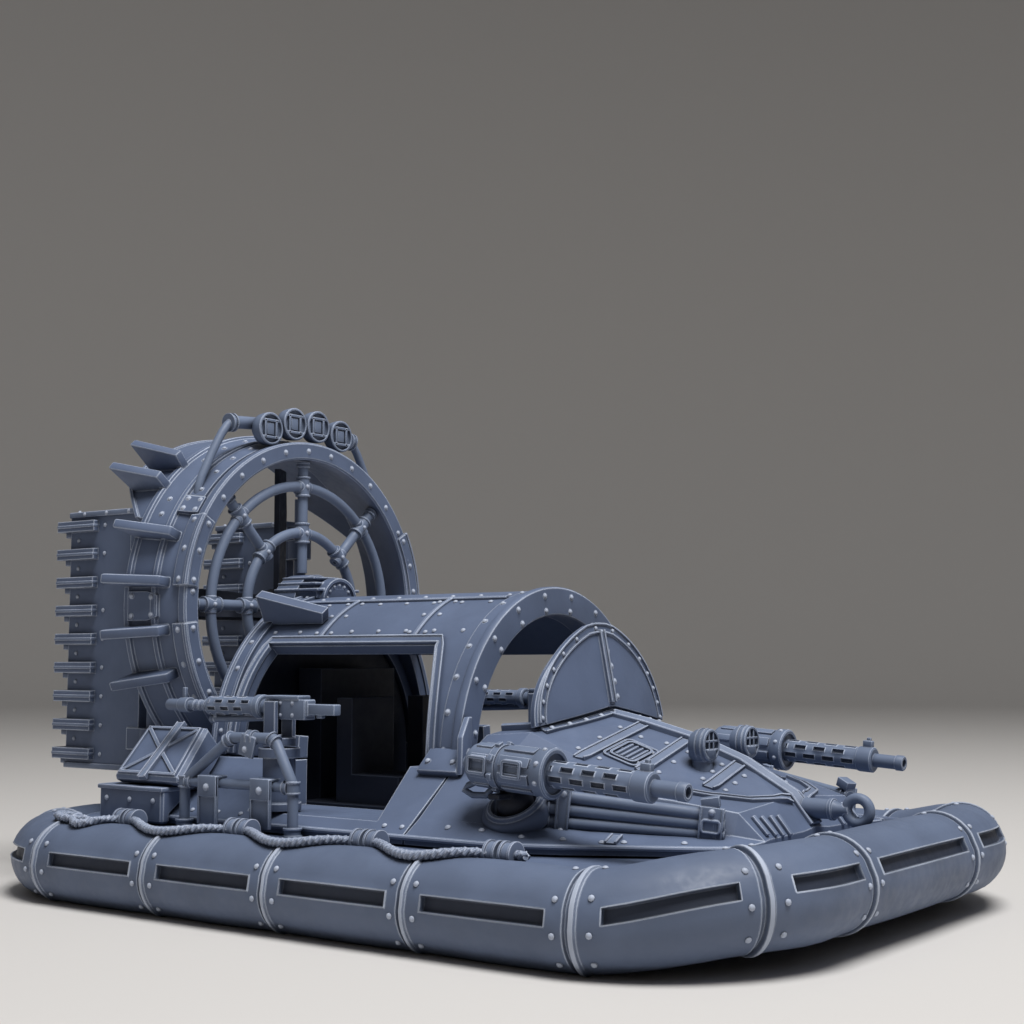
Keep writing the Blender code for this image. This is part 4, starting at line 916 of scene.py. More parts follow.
def add_guard():
    bm = bmesh.new()
    middle = Vector((GUARD_X, 0, DUCT_Z))
    for radius in GUARD_RINGS:
        turns = [math.tau * step / 72 for step in range(72)]
        ring = [middle + Vector((0, radius * math.sin(t), radius * math.cos(t))) for t in turns]
        pipe(bm, ring, GUARD_TUBE, 14, True)
    for spoke in range(8):
        turn = math.tau * spoke / 8
        way = Vector((0, math.sin(turn), math.cos(turn)))
        across = Vector((0, math.cos(turn), -math.sin(turn)))
        inner_end = GUARD_RINGS[-1] if spoke % 2 else NACELLE_RADIUS + 0.3
        pipe(bm, [middle + way * inner_end, middle + way * (DUCT_INNER - 0.3)], GUARD_TUBE)
        for radius in GUARD_RINGS:
            # on the inner ring a slanting spoke has its sleeve round the ring instead
            along, off = (across, way) if spoke % 2 and radius == GUARD_RINGS[-1] else (way, across)
            collar(bm, middle + way * radius, along, 1.28, 1.9, 0.16, 0.3)
            collar(bm, middle + way * radius, off, 1.1, 1.5, 0.0)
            rivet(bm, middle + way * radius + Vector((1.3, 0, 0)), (1, 0, 0), 0.4)
        collar(bm, middle + way * (DUCT_INNER - 0.8), way, 1.2, 0.5, 0.14, 0.25)
    return finish("guard", bm, FITTINGS, stands_for=["fan_guard"])


def add_nacelle():
    bm = bmesh.new()
    drum = [(-48.4, 0), (-48.4, 5.6), (-47.8, 6.2), (-42.3, 6.2), (-42.3, 0)]
    turn_profile(bm, drum, (0, 0, DUCT_Z), (1, 0, 0), 48)
    for fore, half, top in LOUVRES:
        block(bm, (-47.8, -half, 50.8), (fore, half, top - 0.4), bevel=0.15)
        block(bm, (-48.0, -half - 0.35, top - 0.4), (fore + 0.5, half + 0.35, top + 0.15), bevel=0.15)
    cap = [(-36.6, 0), (-36.6, 4.0), (-36.2, 4.0), (-36.2, 4.6), (-37.0, 4.6), (-38.6, 4.6), (-38.6, 0)]
    turn_profile(bm, cap, (0, 0, HOUSING_Z), (1, 0, 0), 48)
    for step in range(7):
        turn = math.radians(15 + 25 * step)
        rivet(bm, (-36.6, 3.3 * math.cos(turn), HOUSING_Z + 3.3 * math.sin(turn)), (1, 0, 0), 0.36)
    return finish("motor_housing", bm, PLATE, stands_for=["fan_nacelle"])


add_guard()
add_nacelle()

# %% [markdown]
# Four lamps stand on a bent bar over the duct. Their faces are a sunk disc with a square frame in it,
# and the same function draws the two headlights on the nose later, with other bars.

# %% Lamps over the duct
LAMP_RADIUS = 3.1
LAMP_FACE = -45.3
LAMP_PLACES = [(-9.65, 82.7), (-3.25, 84.3), (3.15, 84.5), (9.7, 83.4)]
BAR_X = -49.2
BAR_SIDE = [
    (24.1, 67.8), (24.1, 69.3), (23.8, 71.0), (23.2, 72.7), (22.2, 74.6), (21.1, 76.8), (19.8, 79.1), (18.5, 81.2),
    (17.2, 82.8), (16.3, 83.4),
]
BAR_TOP = [(16.4, 83.4), (14.0, 83.7), (9.6, 84.0), (5.0, 84.3), (0.0, 84.4)]


def lamp(bm, centre, radius, depth, bars, half=0.17):
    """A round lamp that looks forward: a rimmed can, a sunk lens and a grille of bars."""
    profile = [
        (-depth, 0), (-depth, radius * 0.78), (-depth * 0.8, radius * 0.95), (-0.9, radius), (0.0, radius),
        (0.12, radius - 0.15), (0.12, radius - 0.42), (-0.45, radius - 0.5), (-0.45, 0),
    ]
    turn_profile(bm, profile, centre, (1, 0, 0), 32)
    x, y, z = centre
    for offset, reach, upright in bars:
        low, high = (offset - half, -reach), (offset + half, reach)
        if not upright:
            low, high = low[::-1], high[::-1]
        block(bm, (x - 0.5, y + low[0], z + low[1]), (x + 0.05, y + high[0], z + high[1]), bevel=0.06)


def add_light_bar():
    bm = bmesh.new()
    for side in (-1, 1):
        pipe(bm, [(BAR_X, side * y, z) for y, z in BAR_SIDE], 0.8)
        pipe(bm, [(BAR_X, side * y, z) for y, z in BAR_TOP], 1.2)
        collar(bm, (BAR_X, side * 16.3, 83.4), (0, side, -0.12), 1.5, 0.6, 0.25, 0.3)
    for y, z in LAMP_PLACES:
        grille = [(-1.4, 1.75, True), (1.4, 1.75, True), (-1.6, 2.45, False), (1.6, 2.45, False)]
        lamp(bm, (LAMP_FACE, y, z), LAMP_RADIUS, 2.6, grille, 0.24)
        block(bm, (LAMP_FACE - 0.7, y - 0.9, z - 1.1), (LAMP_FACE - 0.12, y + 0.9, z + 1.1), bevel=0.12)
        pipe(bm, [(LAMP_FACE - 2.5, y, z), (BAR_X, y, z)], 1.3)
    return finish("lamp_bar", bm, FITTINGS, stands_for=["light_bar"])


add_light_bar()
# %% [markdown]
# The nose keeps its solid. Straps, the hatch and the louvres are laid on it: a ray dropped on its
# surface gives the height and the direction that each detail stands on, so nothing floats or sinks.

# %% Nose: what lies on it
NOSE_TREE = surface_of("nose_body")
RIDGE = [(24.6, 30.7), (31.0, 29.4), (39.0, 27.4), (48.0, 24.1), (56.5, 19.3), (59.8, 15.2)]
RIDGE_STRIP = [
    (-1.75, -0.9), (-1.75, 0.35), (-1.6, 0.5), (-1.3, 0.5), (-1.15, 0.2), (0.0, 0.85), (1.15, 0.2), (1.3, 0.5),
    (1.6, 0.5), (1.75, 0.35), (1.75, -0.9),
]
# x of each strap over the crown, and how far out it reaches
CROSS_STRAPS = [(31.0, 20.2), (39.0, 15.8), (48.2, 11.6)]
STEM_STRAP = [(47.4, 16.6), (50.6, 14.8), (54.5, 10.5), (56.2, 5.6), (56.8, 2.2)]
FLANK_RIVETS = [(37.9, 34.5), (43.1, 32.5), (45.7, 30.9), (52.9, 26.7), (20.0, 37.8), (26.0, 37.6), (32.5, 36.9)]
STEM_LOUVRES = [(58.5, 15.3), (58.8, 13.3), (59.0, 11.2), (59.1, 9.1)]
HATCH_AT, HATCH_HALF = (35.0, 11.8), (2.9, 3.9)


def stand_on(place, up, ahead=(1, 0, 0)):
    """A matrix whose Z axis is up and whose X axis points ahead, as seen on the surface there."""
    up = Vector(up).normalized()
    ahead = (Vector(ahead) - up * Vector(ahead).dot(up)).normalized()
    across = up.cross(ahead)
    turn = Matrix((ahead, across, up)).transposed()
    return Matrix.Translation(place) @ turn.to_4x4()


def fixed_block(bm, matrix, low, high, bevel=0.12):
    bmesh.ops.transform(bm, matrix=matrix, verts=block(bm, low, high, bevel=bevel))


def on_nose(x, y):
    return land(NOSE_TREE, (x, y, 60.0), (0, 0, -1))


def lay_strap(bm, marks, profile, step=1.5):
    """Drape a strap over the nose through (x, y) marks."""
    spots = []
    for start, end in zip(marks, marks[1:]):
        count = max(1, round((Vector(end) - Vector(start)).length / step))
        spots += [Vector(start).lerp(Vector(end), part / count) for part in range(count)]
    spots.append(Vector(marks[-1]))
    landed = [on_nose(*spot) for spot in spots]
    sweep(bm, [place for place, _ in landed], [normal for _, normal in landed], profile)


def rounded_loop(half_x, half_y, radius, steps=4):
    corners = ((1, 1, 0), (-1, 1, 90), (-1, -1, 180), (1, -1, 270))
    loop = []
    for side_x, side_y, first in corners:
        for step in range(steps + 1):
            turn = math.radians(first + 90 * step / steps)
            x = side_x * (half_x - radius) + radius * math.cos(turn)
            y = side_y * (half_y - radius) + radius * math.sin(turn)
            loop.append((x, y, 0.0))
    return loop


def add_ridge():
    bm = bmesh.new()
    path = [(x, 0.0, z) for x, z in RIDGE]
    sweep(bm, path, Vector((0, 0, 1)), RIDGE_STRIP)
    return finish("ridge_strip", bm, TRIM, stands_for=["nose_ridge"])


def add_hatch(bm, side):
    place, up = on_nose(HATCH_AT[0], side * HATCH_AT[1])
    frame_there = stand_on(place, up)
    for half_x, half_y, height in ((*HATCH_HALF, 0.35), (HATCH_HALF[0] - 0.75, HATCH_HALF[1] - 0.75, 0.5)):
        loop = [frame_there @ Vector(spot) for spot in rounded_loop(half_x, half_y, 0.9)]
        sweep(bm, loop, up, flat_strip(0.4, height), closed=True)
    for step in range(4):
        middle = -1.35 + 0.9 * step
        tilt = frame_there @ Matrix.Translation((middle, 0, 0.2)) @ Matrix.Rotation(math.radians(-24), 4, "Y")
        fixed_block(bm, tilt, (-0.34, -2.5, -0.3), (0.34, 2.5, 0.25))


def add_nose_details():
    bm = bmesh.new()
    for side, _ in SIDES:
        for x, reach in CROSS_STRAPS:
            lay_strap(bm, [(x, side * 1.9), (x, side * reach)], lipped_strip(2.0, 0.3))
            for share in (0.2, 0.55, 0.9):
                for aside in (-1.9, 1.9):
                    place, up = on_nose(x + aside, side * (2.2 + (reach - 3.2) * share))
                    rivet(bm, place, up, RIVET)
        lay_strap(bm, [(x, side * y) for x, y in STEM_STRAP], lipped_strip(1.5, 0.3))
        lay_strap(bm, [(44.5, side * 32.6), (43.6, side * 29.4)], lipped_strip(1.7, 0.3))
        for x, y in FLANK_RIVETS:
            place, up = on_nose(x, side * y)
            rivet(bm, place, up, 0.5)
        for x, y in STEM_LOUVRES:
            place, up = on_nose(x, side * y)
            fixed_block(bm, stand_on(place, up), (-1.7, -0.42, -0.3), (1.7, 0.42, 0.5))
        add_hatch(bm, side)
    coaming = [(13.7, -15.9), (19.7, -15.9), (20.2, -8.0), (20.4, 0.0), (20.2, 8.0), (19.7, 15.9), (13.7, 15.9)]
    lay_strap(bm, coaming, [(-0.5, -0.3), (-0.5, 0.9), (-0.2, 1.1), (0.2, 1.1), (0.5, 0.9), (0.5, -0.3)])
    return finish("nose_details", bm, TRIM)


def add_hull_rail():
    """A thin bead along the foot of the hull, and rivets on the flanks beside the cabin."""
    bm = bmesh.new()
    for side, _ in SIDES:
        path = [(-51.8, 40.1), (13.2, 40.1), (31.0, 40.1), (39.0, 36.7), (48.0, 31.7), (56.5, 27.0), (60.0, 24.1)]
        pipe(bm, [(x, side * y, 13.75) for x, y in path], 0.42, 8)
        for x in (-33.0, -27.0, -21.8, 8.6, 12.0):
            rivet(bm, (x, side * 38.6, 15.0), (0, side * 0.61, 0.79), RIVET)
    return finish("hull_beads", bm, TRIM)


add_ridge()
add_nose_details()
add_hull_rail()

# %% Shield
SHIELD_X, SHIELD_HALF, SHIELD_TOP, SHIELD_FOOT = 23.6, 18.8, 45.3, 31.9


def shield_point(across, up, out=0.0):
    half = SHIELD_HALF * (1 - min(up, 0.985) ** 2.1) ** 0.8
    y = across * half
    foot = SHIELD_FOOT - 2.9 * abs(y) / SHIELD_HALF
    return Vector((SHIELD_X - 1.9 * (y / SHIELD_HALF) ** 2 - 2.6 * up + out, y, foot + (SHIELD_TOP - foot) * up))


def add_shield():
    bm = bmesh.new()
    across, up = spread([-1.0, 1.0], 0.08), spread([0.0, 1.0], 0.05)
    sheet_over(bm, across, up, lambda a, u: shield_point(a, u, -0.5))
    bmesh.ops.remove_doubles(bm, verts=bm.verts, dist=0.01)
    bmesh.ops.recalc_face_normals(bm, faces=bm.faces)
    bm.normal_update()
    if sum(face.normal.x for face in bm.faces) < 0:
        bmesh.ops.reverse_faces(bm, faces=bm.faces)
    bmesh.ops.solidify(bm, geom=list(bm.faces), thickness=-1.0)
    rim = [shield_point(-0.93, u, 0.35) for u in spread([0.03, 0.93], 0.05)]
    rim += [shield_point(a, 0.955, 0.35) for a in (-0.5, 0.0, 0.5)]
    rim += [shield_point(0.93, u, 0.35) for u in spread([0.93, 0.03], 0.05)]
    sweep(bm, rim, Vector((1, 0, 0.2)), lipped_strip(1.7, 0.25, 0.3, 0.25, 0.5))
    for index in range(1, len(rim), 3):
        rivet(bm, rim[index] + Vector((0.3, 0, 0)), (1, 0, 0.2), 0.4)
    rib = [shield_point(0.0, u, 0.3) for u in spread([0.05, 0.93], 0.06)]
    sweep(bm, rib, Vector((1, 0, 0.2)), lipped_strip(1.5, 0.55, 0.35, 0.25, 0.5))
    for u in (0.14, 0.32, 0.5, 0.68):
        rivet(bm, shield_point(0.12, u, 0.4), (1, 0, 0.2), RIVET)
    foot = [(24.3, y) for y in spread([-17.6, 17.6], 2.0)]
    lay_strap(bm, [(x - 1.9 * (y / SHIELD_HALF) ** 2, y) for x, y in foot], lipped_strip(1.7, 0.35), 2.0)
    for step in range(9):
        y = -16.0 + 4.0 * step
        place, up_there = on_nose(24.5 - 1.9 * (y / SHIELD_HALF) ** 2, y)
        rivet(bm, place + up_there * 0.45, up_there, RIVET)
    return finish("shield_plate", bm, PLATE, stands_for=["shield"])


add_shield()

# %% Headlights
HEADLIGHT = (46.0, 6.5, 26.6)
HEADLIGHT_RADIUS = 2.5


def add_headlights():
    for side, word in SIDES:
        bm = bmesh.new()
        x, y, z = HEADLIGHT[0], side * HEADLIGHT[1], HEADLIGHT[2]
        grille = [(offset, 1.95, upright) for offset in (-0.65, 0.65) for upright in (True, False)]
        lamp(bm, (x, y, z), HEADLIGHT_RADIUS, 3.0, grille)
        collar(bm, (x - 1.1, y, z), (1, 0, 0), HEADLIGHT_RADIUS - 0.05, 0.55, 0.18, 0.2, 1.5)
        stand = [(-5.4, 0), (-5.4, 2.3), (-4.6, 2.3), (-4.4, 1.7), (-2.4, 1.5), (-1.6, 2.1), (-0.6, 2.1), (-0.6, 0)]
        turn_profile(bm, stand, (x - 1.6, y, z), (0, 0, 1), 28)
        finish("headlight_lamp_" + word, bm, FITTINGS, stands_for=["headlight_" + word])


add_headlights()

# %% [markdown]
# Three pipes run along each flank of the nose, held by a strap at one end and by a riveted plate with a
# buckle at the other. Both clamps are drawn flat, then turned into the direction of the pipes.

# %% Pipe racks
PIPE_ENDS = [(33.2, 31.4, 20.4, 1.9), (56.0, 20.8, 17.6, 1.3)]


def add_pipe_racks():
    for side, word in SIDES:
        bm = bmesh.new()
        for level in range(3):
            start, end = [Vector((x, side * y, z - drop * level)) for x, y, z, drop in PIPE_ENDS]
            way = (end - start).normalized()
            pipe(bm, [start, start.lerp(end, 0.5), end], 0.92)
            for place in (start + way * 0.8, end - way * 0.8):
                collar(bm, place, way, 0.95, 0.7, 0.2, 0.25)
        top_start, top_end = [Vector((x, side * y, z)) for x, y, z, _ in PIPE_ENDS]
        along = (top_end - top_start).normalized()
        out = Vector((0, side, 0)) - along * along.dot(Vector((0, side, 0)))
        aft = stand_on(top_start.lerp(top_end, 0.1), out, along)
        fore = stand_on(top_start.lerp(top_end, 0.93), out, along)
        down = -1 if (aft.to_3x3() @ Vector((0, 1, 0))).z > 0 else 1
        for matrix, half, reach in ((aft, 1.0, 5.6), (fore, 1.7, 4.4)):
            low, high = sorted((-1.3 * down, reach * down))
            fixed_block(bm, matrix, (-half, low, 0.5), (half, high, 1.25))
            for lip in (-half, half - 0.3):
                fixed_block(bm, matrix, (lip, low, 1.1), (lip + 0.3, high, 1.5), 0.08)
            for share in (0.12, 0.88):
                spot = matrix @ Vector((0, low + (high - low) * share, 1.3))
                rivet(bm, spot, matrix.to_3x3() @ Vector((0, 0, 1)), RIVET)
        loop = [fore @ Vector((x, y + 1.4 * down, 1.35)) for x, y, _ in rounded_loop(1.25, 0.85, 0.4)]
        pipe(bm, loop, 0.22, 8, True)
        tilt = fore @ Matrix.Rotation(math.radians(14), 4, "Z")
        low, high = sorted((-2.6 * down, -1.1 * down))
        fixed_block(bm, tilt, (-1.2, low, -0.9), (1.4, high, 1.0))
        finish("pipe_bundle_" + word, bm, FITTINGS, stands_for=["pipe_rack_" + word])


add_pipe_racks()

# %% Bow gun mounts
BOW_PIVOT, BOW_GUN = (28.5, 33.0, 18.9), (28.5, 36.0, 24.3)
SOCKET_AT, SOCKET_WAY = (28.5, 32.5, 18.15), (0.56, 0.83)
SOCKET = [
    (-1.6, 3.45), (1.2, 3.45), (1.4, 3.6), (1.4, 4.1), (1.15, 4.3), (0.8, 4.4), (0.8, 4.75), (0.6, 5.1), (0.2, 5.35),
    (-1.6, 5.35),
]


def add_bow_mounts():
    for side, word in SIDES:
        bm = bmesh.new()
        place, way = (SOCKET_AT[0], side * SOCKET_AT[1], SOCKET_AT[2]), (0, side * SOCKET_WAY[0], SOCKET_WAY[1])
        turn_profile(bm, SOCKET, place, way, 44)
        finish("bow_ring_" + word, bm, PLATE, stands_for=["bow_socket_" + word])
        bm = bmesh.new()
        x, y, z = BOW_PIVOT[0], side * BOW_PIVOT[1], BOW_PIVOT[2]
        bmesh.ops.create_uvsphere(bm, u_segments=28, v_segments=16, radius=2.8, matrix=Matrix.Translation((x, y, z)))
        pipe(bm, [(x, y, z + 1.5), (x, side * (BOW_GUN[1] - 0.8), BOW_GUN[2] - 4.3)], 1.25)
        collar(bm, (x, side * 34.3, 21.1), (0, side * 0.45, 0.9), 1.45, 0.5, 0.15, 0.2)
        low_y = side * BOW_GUN[1]
        block(bm, (x - 1.0, low_y - 2.2, BOW_GUN[2] - 4.5), (x + 1.0, low_y + 2.2, BOW_GUN[2] - 3.7), bevel=0.2)
        # the ball sits deep in its socket, so it takes the near-black resin, a painted shadow
        finish("bow_ball_" + word, bm, SHADOW, body="bow_mount_" + word, stands_for=["bow_mount_" + word])


add_bow_mounts()

# %% [markdown]
# A slotted barrel jacket is a fine-meshed tube. The faces of each slot are picked by their row and
# column, inset once for a raised rim and once more, downwards, for the floor.

# %% Bow guns
BOW_DROP = 4.0
BODY_PROFILE = [
    (-6.6, 0), (-6.6, 0.8), (-6.4, 1.05), (-5.7, 1.05), (-5.5, 0.8), (-5.4, 2.1), (-5.1, 2.4), (-4.5, 2.9), (-4.1, 3.0),
    (-0.5, 3.0), (-0.5, 3.3), (0.7, 3.3), (0.7, 3.0), (7.0, 3.0), (7.1, 3.45), (7.3, 3.6), (9.0, 3.6), (9.2, 3.4),
    (9.2, 2.9), (8.8, 2.75), (8.8, 0),
]
MUZZLE_PROFILE = [
    (22.6, 0), (22.6, 2.1), (23.0, 2.15), (25.1, 2.15), (25.3, 1.9), (25.3, 1.15), (29.2, 1.15), (29.3, 1.3),
    (30.4, 1.3), (30.6, 1.15), (30.6, 0.75), (28.6, 0.7), (28.6, 0),
]


HOSE = [
    (-3.6, 0.4, -2.2), (-5.4, 0.7, -3.2), (-6.0, 0.8, -3.9), (-4.6, 0.6, -4.5), (-2.4, 0.3, -4.3), (-1.2, 0, -2.8),
]


def jacket(bm, start, end, radius, unit, columns=24, rim=0.1, dip=0.42):
    """A tube along X with staggered oblong slots, four units long, in rows two faces wide."""
    stations = max(8, round((end - start) / unit))
    rings = []
    for step in range(stations + 1):
        x = start + (end - start) * step / stations
        rings.append(outline(bm, [Vector((x, a, b)) for a, b in circle(radius, columns)]))
    skin(bm, rings)
    slots = []
    for row in range(stations):
        for column in range(columns):
            offset = 1 if column % 6 < 2 else 4
            if column % 3 == 2 or (row - offset) % 6 > 3 or row - (row - offset) % 6 + 3 >= stations - 1 or row < 1:
                continue
            near, far = rings[row][column], rings[row + 1][column]
            slots += [face for face in near.link_faces if face in far.link_faces]
    bmesh.ops.recalc_face_normals(bm, faces=bm.faces)
    bmesh.ops.inset_region(bm, faces=slots, thickness=0.12, depth=rim, use_even_offset=True)
    bmesh.ops.inset_region(bm, faces=slots, thickness=0.08, depth=-dip, use_even_offset=True)
    # slot floors take the dark mix, a painted shade
    for face in slots:
        face.material_index = IN_SLOT_PAINTED_SHADE


def add_bow_guns():
    for side, word in SIDES:
        bm = bmesh.new()
        jacket(bm, 8.6, 22.8, 1.9, 0.6)
        turn_profile(bm, BODY_PROFILE, (0, 0, 0), (1, 0, 0), 40)
        turn_profile(bm, MUZZLE_PROFILE, (0, 0, 0), (1, 0, 0), 32)
        for angle in range(20, 380, 45):
            turn = Matrix.Rotation(math.radians(angle), 4, "X")
            fixed_block(bm, turn, (1.4, -0.75, 2.8), (6.6, 0.75, 3.3))
            fixed_block(bm, turn, (-3.7, -0.55, 2.8), (-0.9, 0.55, 3.25))
            fixed_block(bm, turn, (-0.3, -0.5, 3.0), (0.5, 0.5, 3.75))
            rivet(bm, turn @ Vector((8.1, 0, 3.6)), turn.to_3x3() @ Vector((0, 0, 1)), 0.36)
        # the framed windows on the outer side, and the front sight
        for middle in (-2.2, 3.9):
            frame_there = stand_on((middle, side * 3.05, 0.2), (0, side, 0))
            loop = [frame_there @ Vector(spot) for spot in rounded_loop(1.5, 1.1, 0.3)]
            sweep(bm, loop, Vector((0, side, 0)), flat_strip(0.4, 0.5, 0.8), closed=True)
        block(bm, (23.2, -0.55, 1.9), (24.9, 0.55, 3.2))
        block(bm, (23.8, -0.3, 3.0), (24.5, 0.3, 3.7), bevel=0.1)
        pipe(bm, [(x, side * y, z) for x, y, z in HOSE], 0.5, 10)
        place = Matrix.Translation((BOW_GUN[0], side * BOW_GUN[1], BOW_GUN[2]))
        matrix = place @ Matrix.Rotation(math.radians(BOW_DROP), 4, "Y")
        bmesh.ops.transform(bm, matrix=matrix, verts=bm.verts)
        finish("bow_barrel_" + word, bm, FITTINGS, body="bow_gun_" + word, stands_for=["bow_gun_" + word])


add_bow_guns()

# %% Side guns
SIDE_PIVOT = (-16.0, 36.0, 32.0)
SIDE_BARREL = [
    (-26.2, 0.5), (-26.2, 0.85), (-26.0, 0.98), (-23.1, 0.98), (-23.0, 1.25), (-20.9, 1.25), (-20.8, 0.75),
    (-19.9, 0.75), (-19.8, 0.95), (-19.4, 0.95), (-19.3, 0.75), (-18.6, 0.75), (-18.5, 0.95), (-18.1, 0.95),
    (-18.0, 0.75), (-17.3, 0.75), (-17.2, 0.95), (-16.8, 0.95), (-16.7, 0.75), (-15.7, 0.75), (-15.7, 0),
    (-24.8, 0), (-24.8, 0.45),
]
SIDE_ROD = [(-15.3, 0, -2.2), (-8.0, 0, -1.95), (-1.2, 0, -1.65)]
SIDE_NECK = [(-4.8, 0), (-4.8, 1.75), (-4.6, 1.95), (-3.5, 1.95), (-3.3, 1.7), (-3.3, 1.2), (-2.0, 1.2), (-2.0, 0)]


def add_side_guns():
    for side, word in SIDES:
        bm = bmesh.new()
        jacket(bm, -15.8, -4.6, 1.55, 0.5, 24, 0.08, 0.4)
        turn_profile(bm, SIDE_BARREL, (0, 0, 0), (1, 0, 0), 24)
        turn_profile(bm, SIDE_NECK, (0, 0, 0), (1, 0, 0), 28)
        block(bm, (-22.6, -0.3, 1.0), (-21.9, 0.3, 2.9), bevel=0.08)
        block(bm, (-2.2, -1.3, -1.9), (6.6, 1.3, 1.3))
        block(bm, (-1.8, -1.45, 1.2), (5.4, 1.45, 1.9))
        block(bm, (5.9, -0.95, -1.3), (7.0, 0.95, 1.2))
        block(bm, (6.8, -0.8, -1.1), (12.5, 0.8, 0.6))
        block(bm, (8.4, -0.45, -1.6), (9.5, 0.45, -0.9), bevel=0.1)
        for x in (-1.2, 1.4, 4.0):
            for z in (-1.2, 0.7):
                rivet(bm, (x, side * 1.3, z), (0, side, 0), 0.32)
        pipe(bm, SIDE_ROD, 0.55, 12)
        knob = Matrix.Translation(SIDE_ROD[0])
        bmesh.ops.create_uvsphere(bm, u_segments=14, v_segments=8, radius=0.75, matrix=knob)
        block(bm, (-14.9, -0.45, -2.3), (-14.1, 0.45, -0.5), bevel=0.1)
        bmesh.ops.translate(bm, vec=(SIDE_PIVOT[0], side * SIDE_PIVOT[1], SIDE_PIVOT[2]), verts=bm.verts)
        finish("side_barrel_" + word, bm, FITTINGS, body="side_gun_" + word, stands_for=["side_gun_" + word])


add_side_guns()

# %% [markdown]
# Outside each side gun runs a bent rail with a lower bar, two hanging straps and sleeves at its
# corners. Everything on it is placed by how far it stands out from the rail's middle.

# %% Side rails
RAIL_Y, RAIL_AFT, RAIL_FORE, RAIL_LOW = 42.0, -31.2, -7.0, 20.0
RAIL_BEND = [
    (-31.2, 12.8), (-31.2, 19.2), (-30.6, 20.5), (-21.4, 26.7), (-20.0, 27.3), (-11.9, 27.4), (-10.7, 26.7),
    (-7.3, 20.9), (-7.0, 19.8), (-7.0, 12.8),
]
STRAPS_X, STRAP_HALF = [-24.6, -12.8], 2.1


def rail_block(bm, side, ends, outs, heights, turn=None, about=(0, 0, 0), bevel=0.18):
    """A block at the rail; outs are distances outward from the rail's middle."""
    low, high = sorted(side * (RAIL_Y + out) for out in outs)
    block(bm, (ends[0], low, heights[0]), (ends[1], high, heights[1]), turn, about, bevel)


def add_side_rails():
    for side, word in SIDES:
        bm = bmesh.new()
        y = side * RAIL_Y
        pipe(bm, [(x, y, z) for x, z in RAIL_BEND], 0.85)
        pipe(bm, [(RAIL_AFT, y, RAIL_LOW), (RAIL_FORE, y, RAIL_LOW)], 0.78)
        for x in (RAIL_AFT, RAIL_FORE):
            collar(bm, (x, y, 13.3), (0, 0, 1), 1.3, 0.7, 0.2, 0.3)
            collar(bm, (x, y, RAIL_LOW), (0, 0, 1), 1.0, 0.95, 0.15, 0.25)
            collar(bm, (x + (1.2 if x == RAIL_AFT else -1.2), y, RAIL_LOW), (1, 0, 0), 0.95, 0.55, 0.15, 0.2)
        for x, z, way in ((-21.0, 26.95, (1, 0, 0.55)), (-11.3, 27.1, (1, 0, -0.6)), (-16.0, 27.4, (1, 0, 0))):
            collar(bm, (x, y, z), way, 1.0, 0.7, 0.2, 0.25)
        for x in STRAPS_X:
            ends = (x - STRAP_HALF, x + STRAP_HALF)
            rail_block(bm, side, ends, (0.75, 1.25), (13.5, 21.2))
            rail_block(bm, side, ends, (-1.1, 1.25), (20.75, 21.25))
            rail_block(bm, side, ends, (0.9, 1.55), (17.9, 21.25))
            rivet(bm, (x, y + side * 1.55, 19.4), (0, side, 0), 0.62)
            for lip in (ends[0], ends[1] - 0.35):
                rail_block(bm, side, (lip, lip + 0.35), (1.1, 1.5), (13.6, 21.1), bevel=0.08)
        tilt = Matrix.Rotation(math.radians(14), 3, "Y")
        rail_block(bm, side, (-17.6, -14.4), (0.5, 1.05), (24.4, 27.8), tilt, (-16.0, y, 27.0))
        rivet(bm, (-16.6, y + side * 1.05, 25.6), (0, side, 0), 0.5)
        finish("rail_" + word, bm, FITTINGS, stands_for=["side_rail_" + word])


add_side_rails()

# %% Fuel cans and stores boxes
CAN_CORNERS = [(-49.8, 0.0), (-33.6, 0.0), (-36.9, 12.6), (-51.9, 12.6)]
CAN_FOOT, CAN_SLOPE = (41.5, 20.0), 41.5


def add_can_details():
    """The pressed ribs, the strap and the cap of each can, and the rivets of the box under it."""
    bm = bmesh.new()
    lean = math.radians(CAN_SLOPE)
    for side, _ in SIDES:
        up_slope = Vector((0, -side * math.cos(lean), math.sin(lean)))
        facing = Vector((0, side * math.sin(lean), math.cos(lean)))

        def on_can(x, up, out=0.0):
            return Vector((x, side * CAN_FOOT[0], CAN_FOOT[1])) + up_slope * up + facing * out

        middle = Vector((-43.0, 6.3))
        inner = [Vector(spot).lerp(middle, 0.16) for spot in CAN_CORNERS]
        rib = [(-0.4, -0.2), (-0.3, 0.35), (0.3, 0.35), (0.4, -0.2)]
        sweep(bm, [on_can(*spot) for spot in inner], facing, rib, closed=True)
        for start, end in ((0, 2), (1, 3)):
            sweep(bm, [on_can(*inner[start]), on_can(*middle), on_can(*inner[end])], facing, rib)
        belt = [on_can(-42.0 - 0.1 * up, up) for up in (-0.2, 6.3, 12.8)]
        sweep(bm, belt, facing, lipped_strip(1.8, 0.5))
        cap = [(0, 1.3), (0.6, 1.3), (0.8, 1.1), (0.8, 0), (0, 0)]
        turn_profile(bm, cap, on_can(-48.7, 12.3, -2.0), up_slope, 20)
        for x in (-50.2, -44.4, -38.6):
            rivet(bm, (x, side * 42.2, 16.4), (0, side, 0), 0.5)
        low, high = sorted((side * 33.8, side * 42.45))
        block(bm, (-52.5, low, 17.9), (-36.3, high, 18.65), bevel=0.2)
    return finish("can_ribs", bm, TRIM)


add_can_details()

# %% [markdown]
# A rope is three thin pipes wound round one path. The path itself follows the shoulder of the tube: it
# is high at the sleeves and slides outward between them, as a slack rope does.

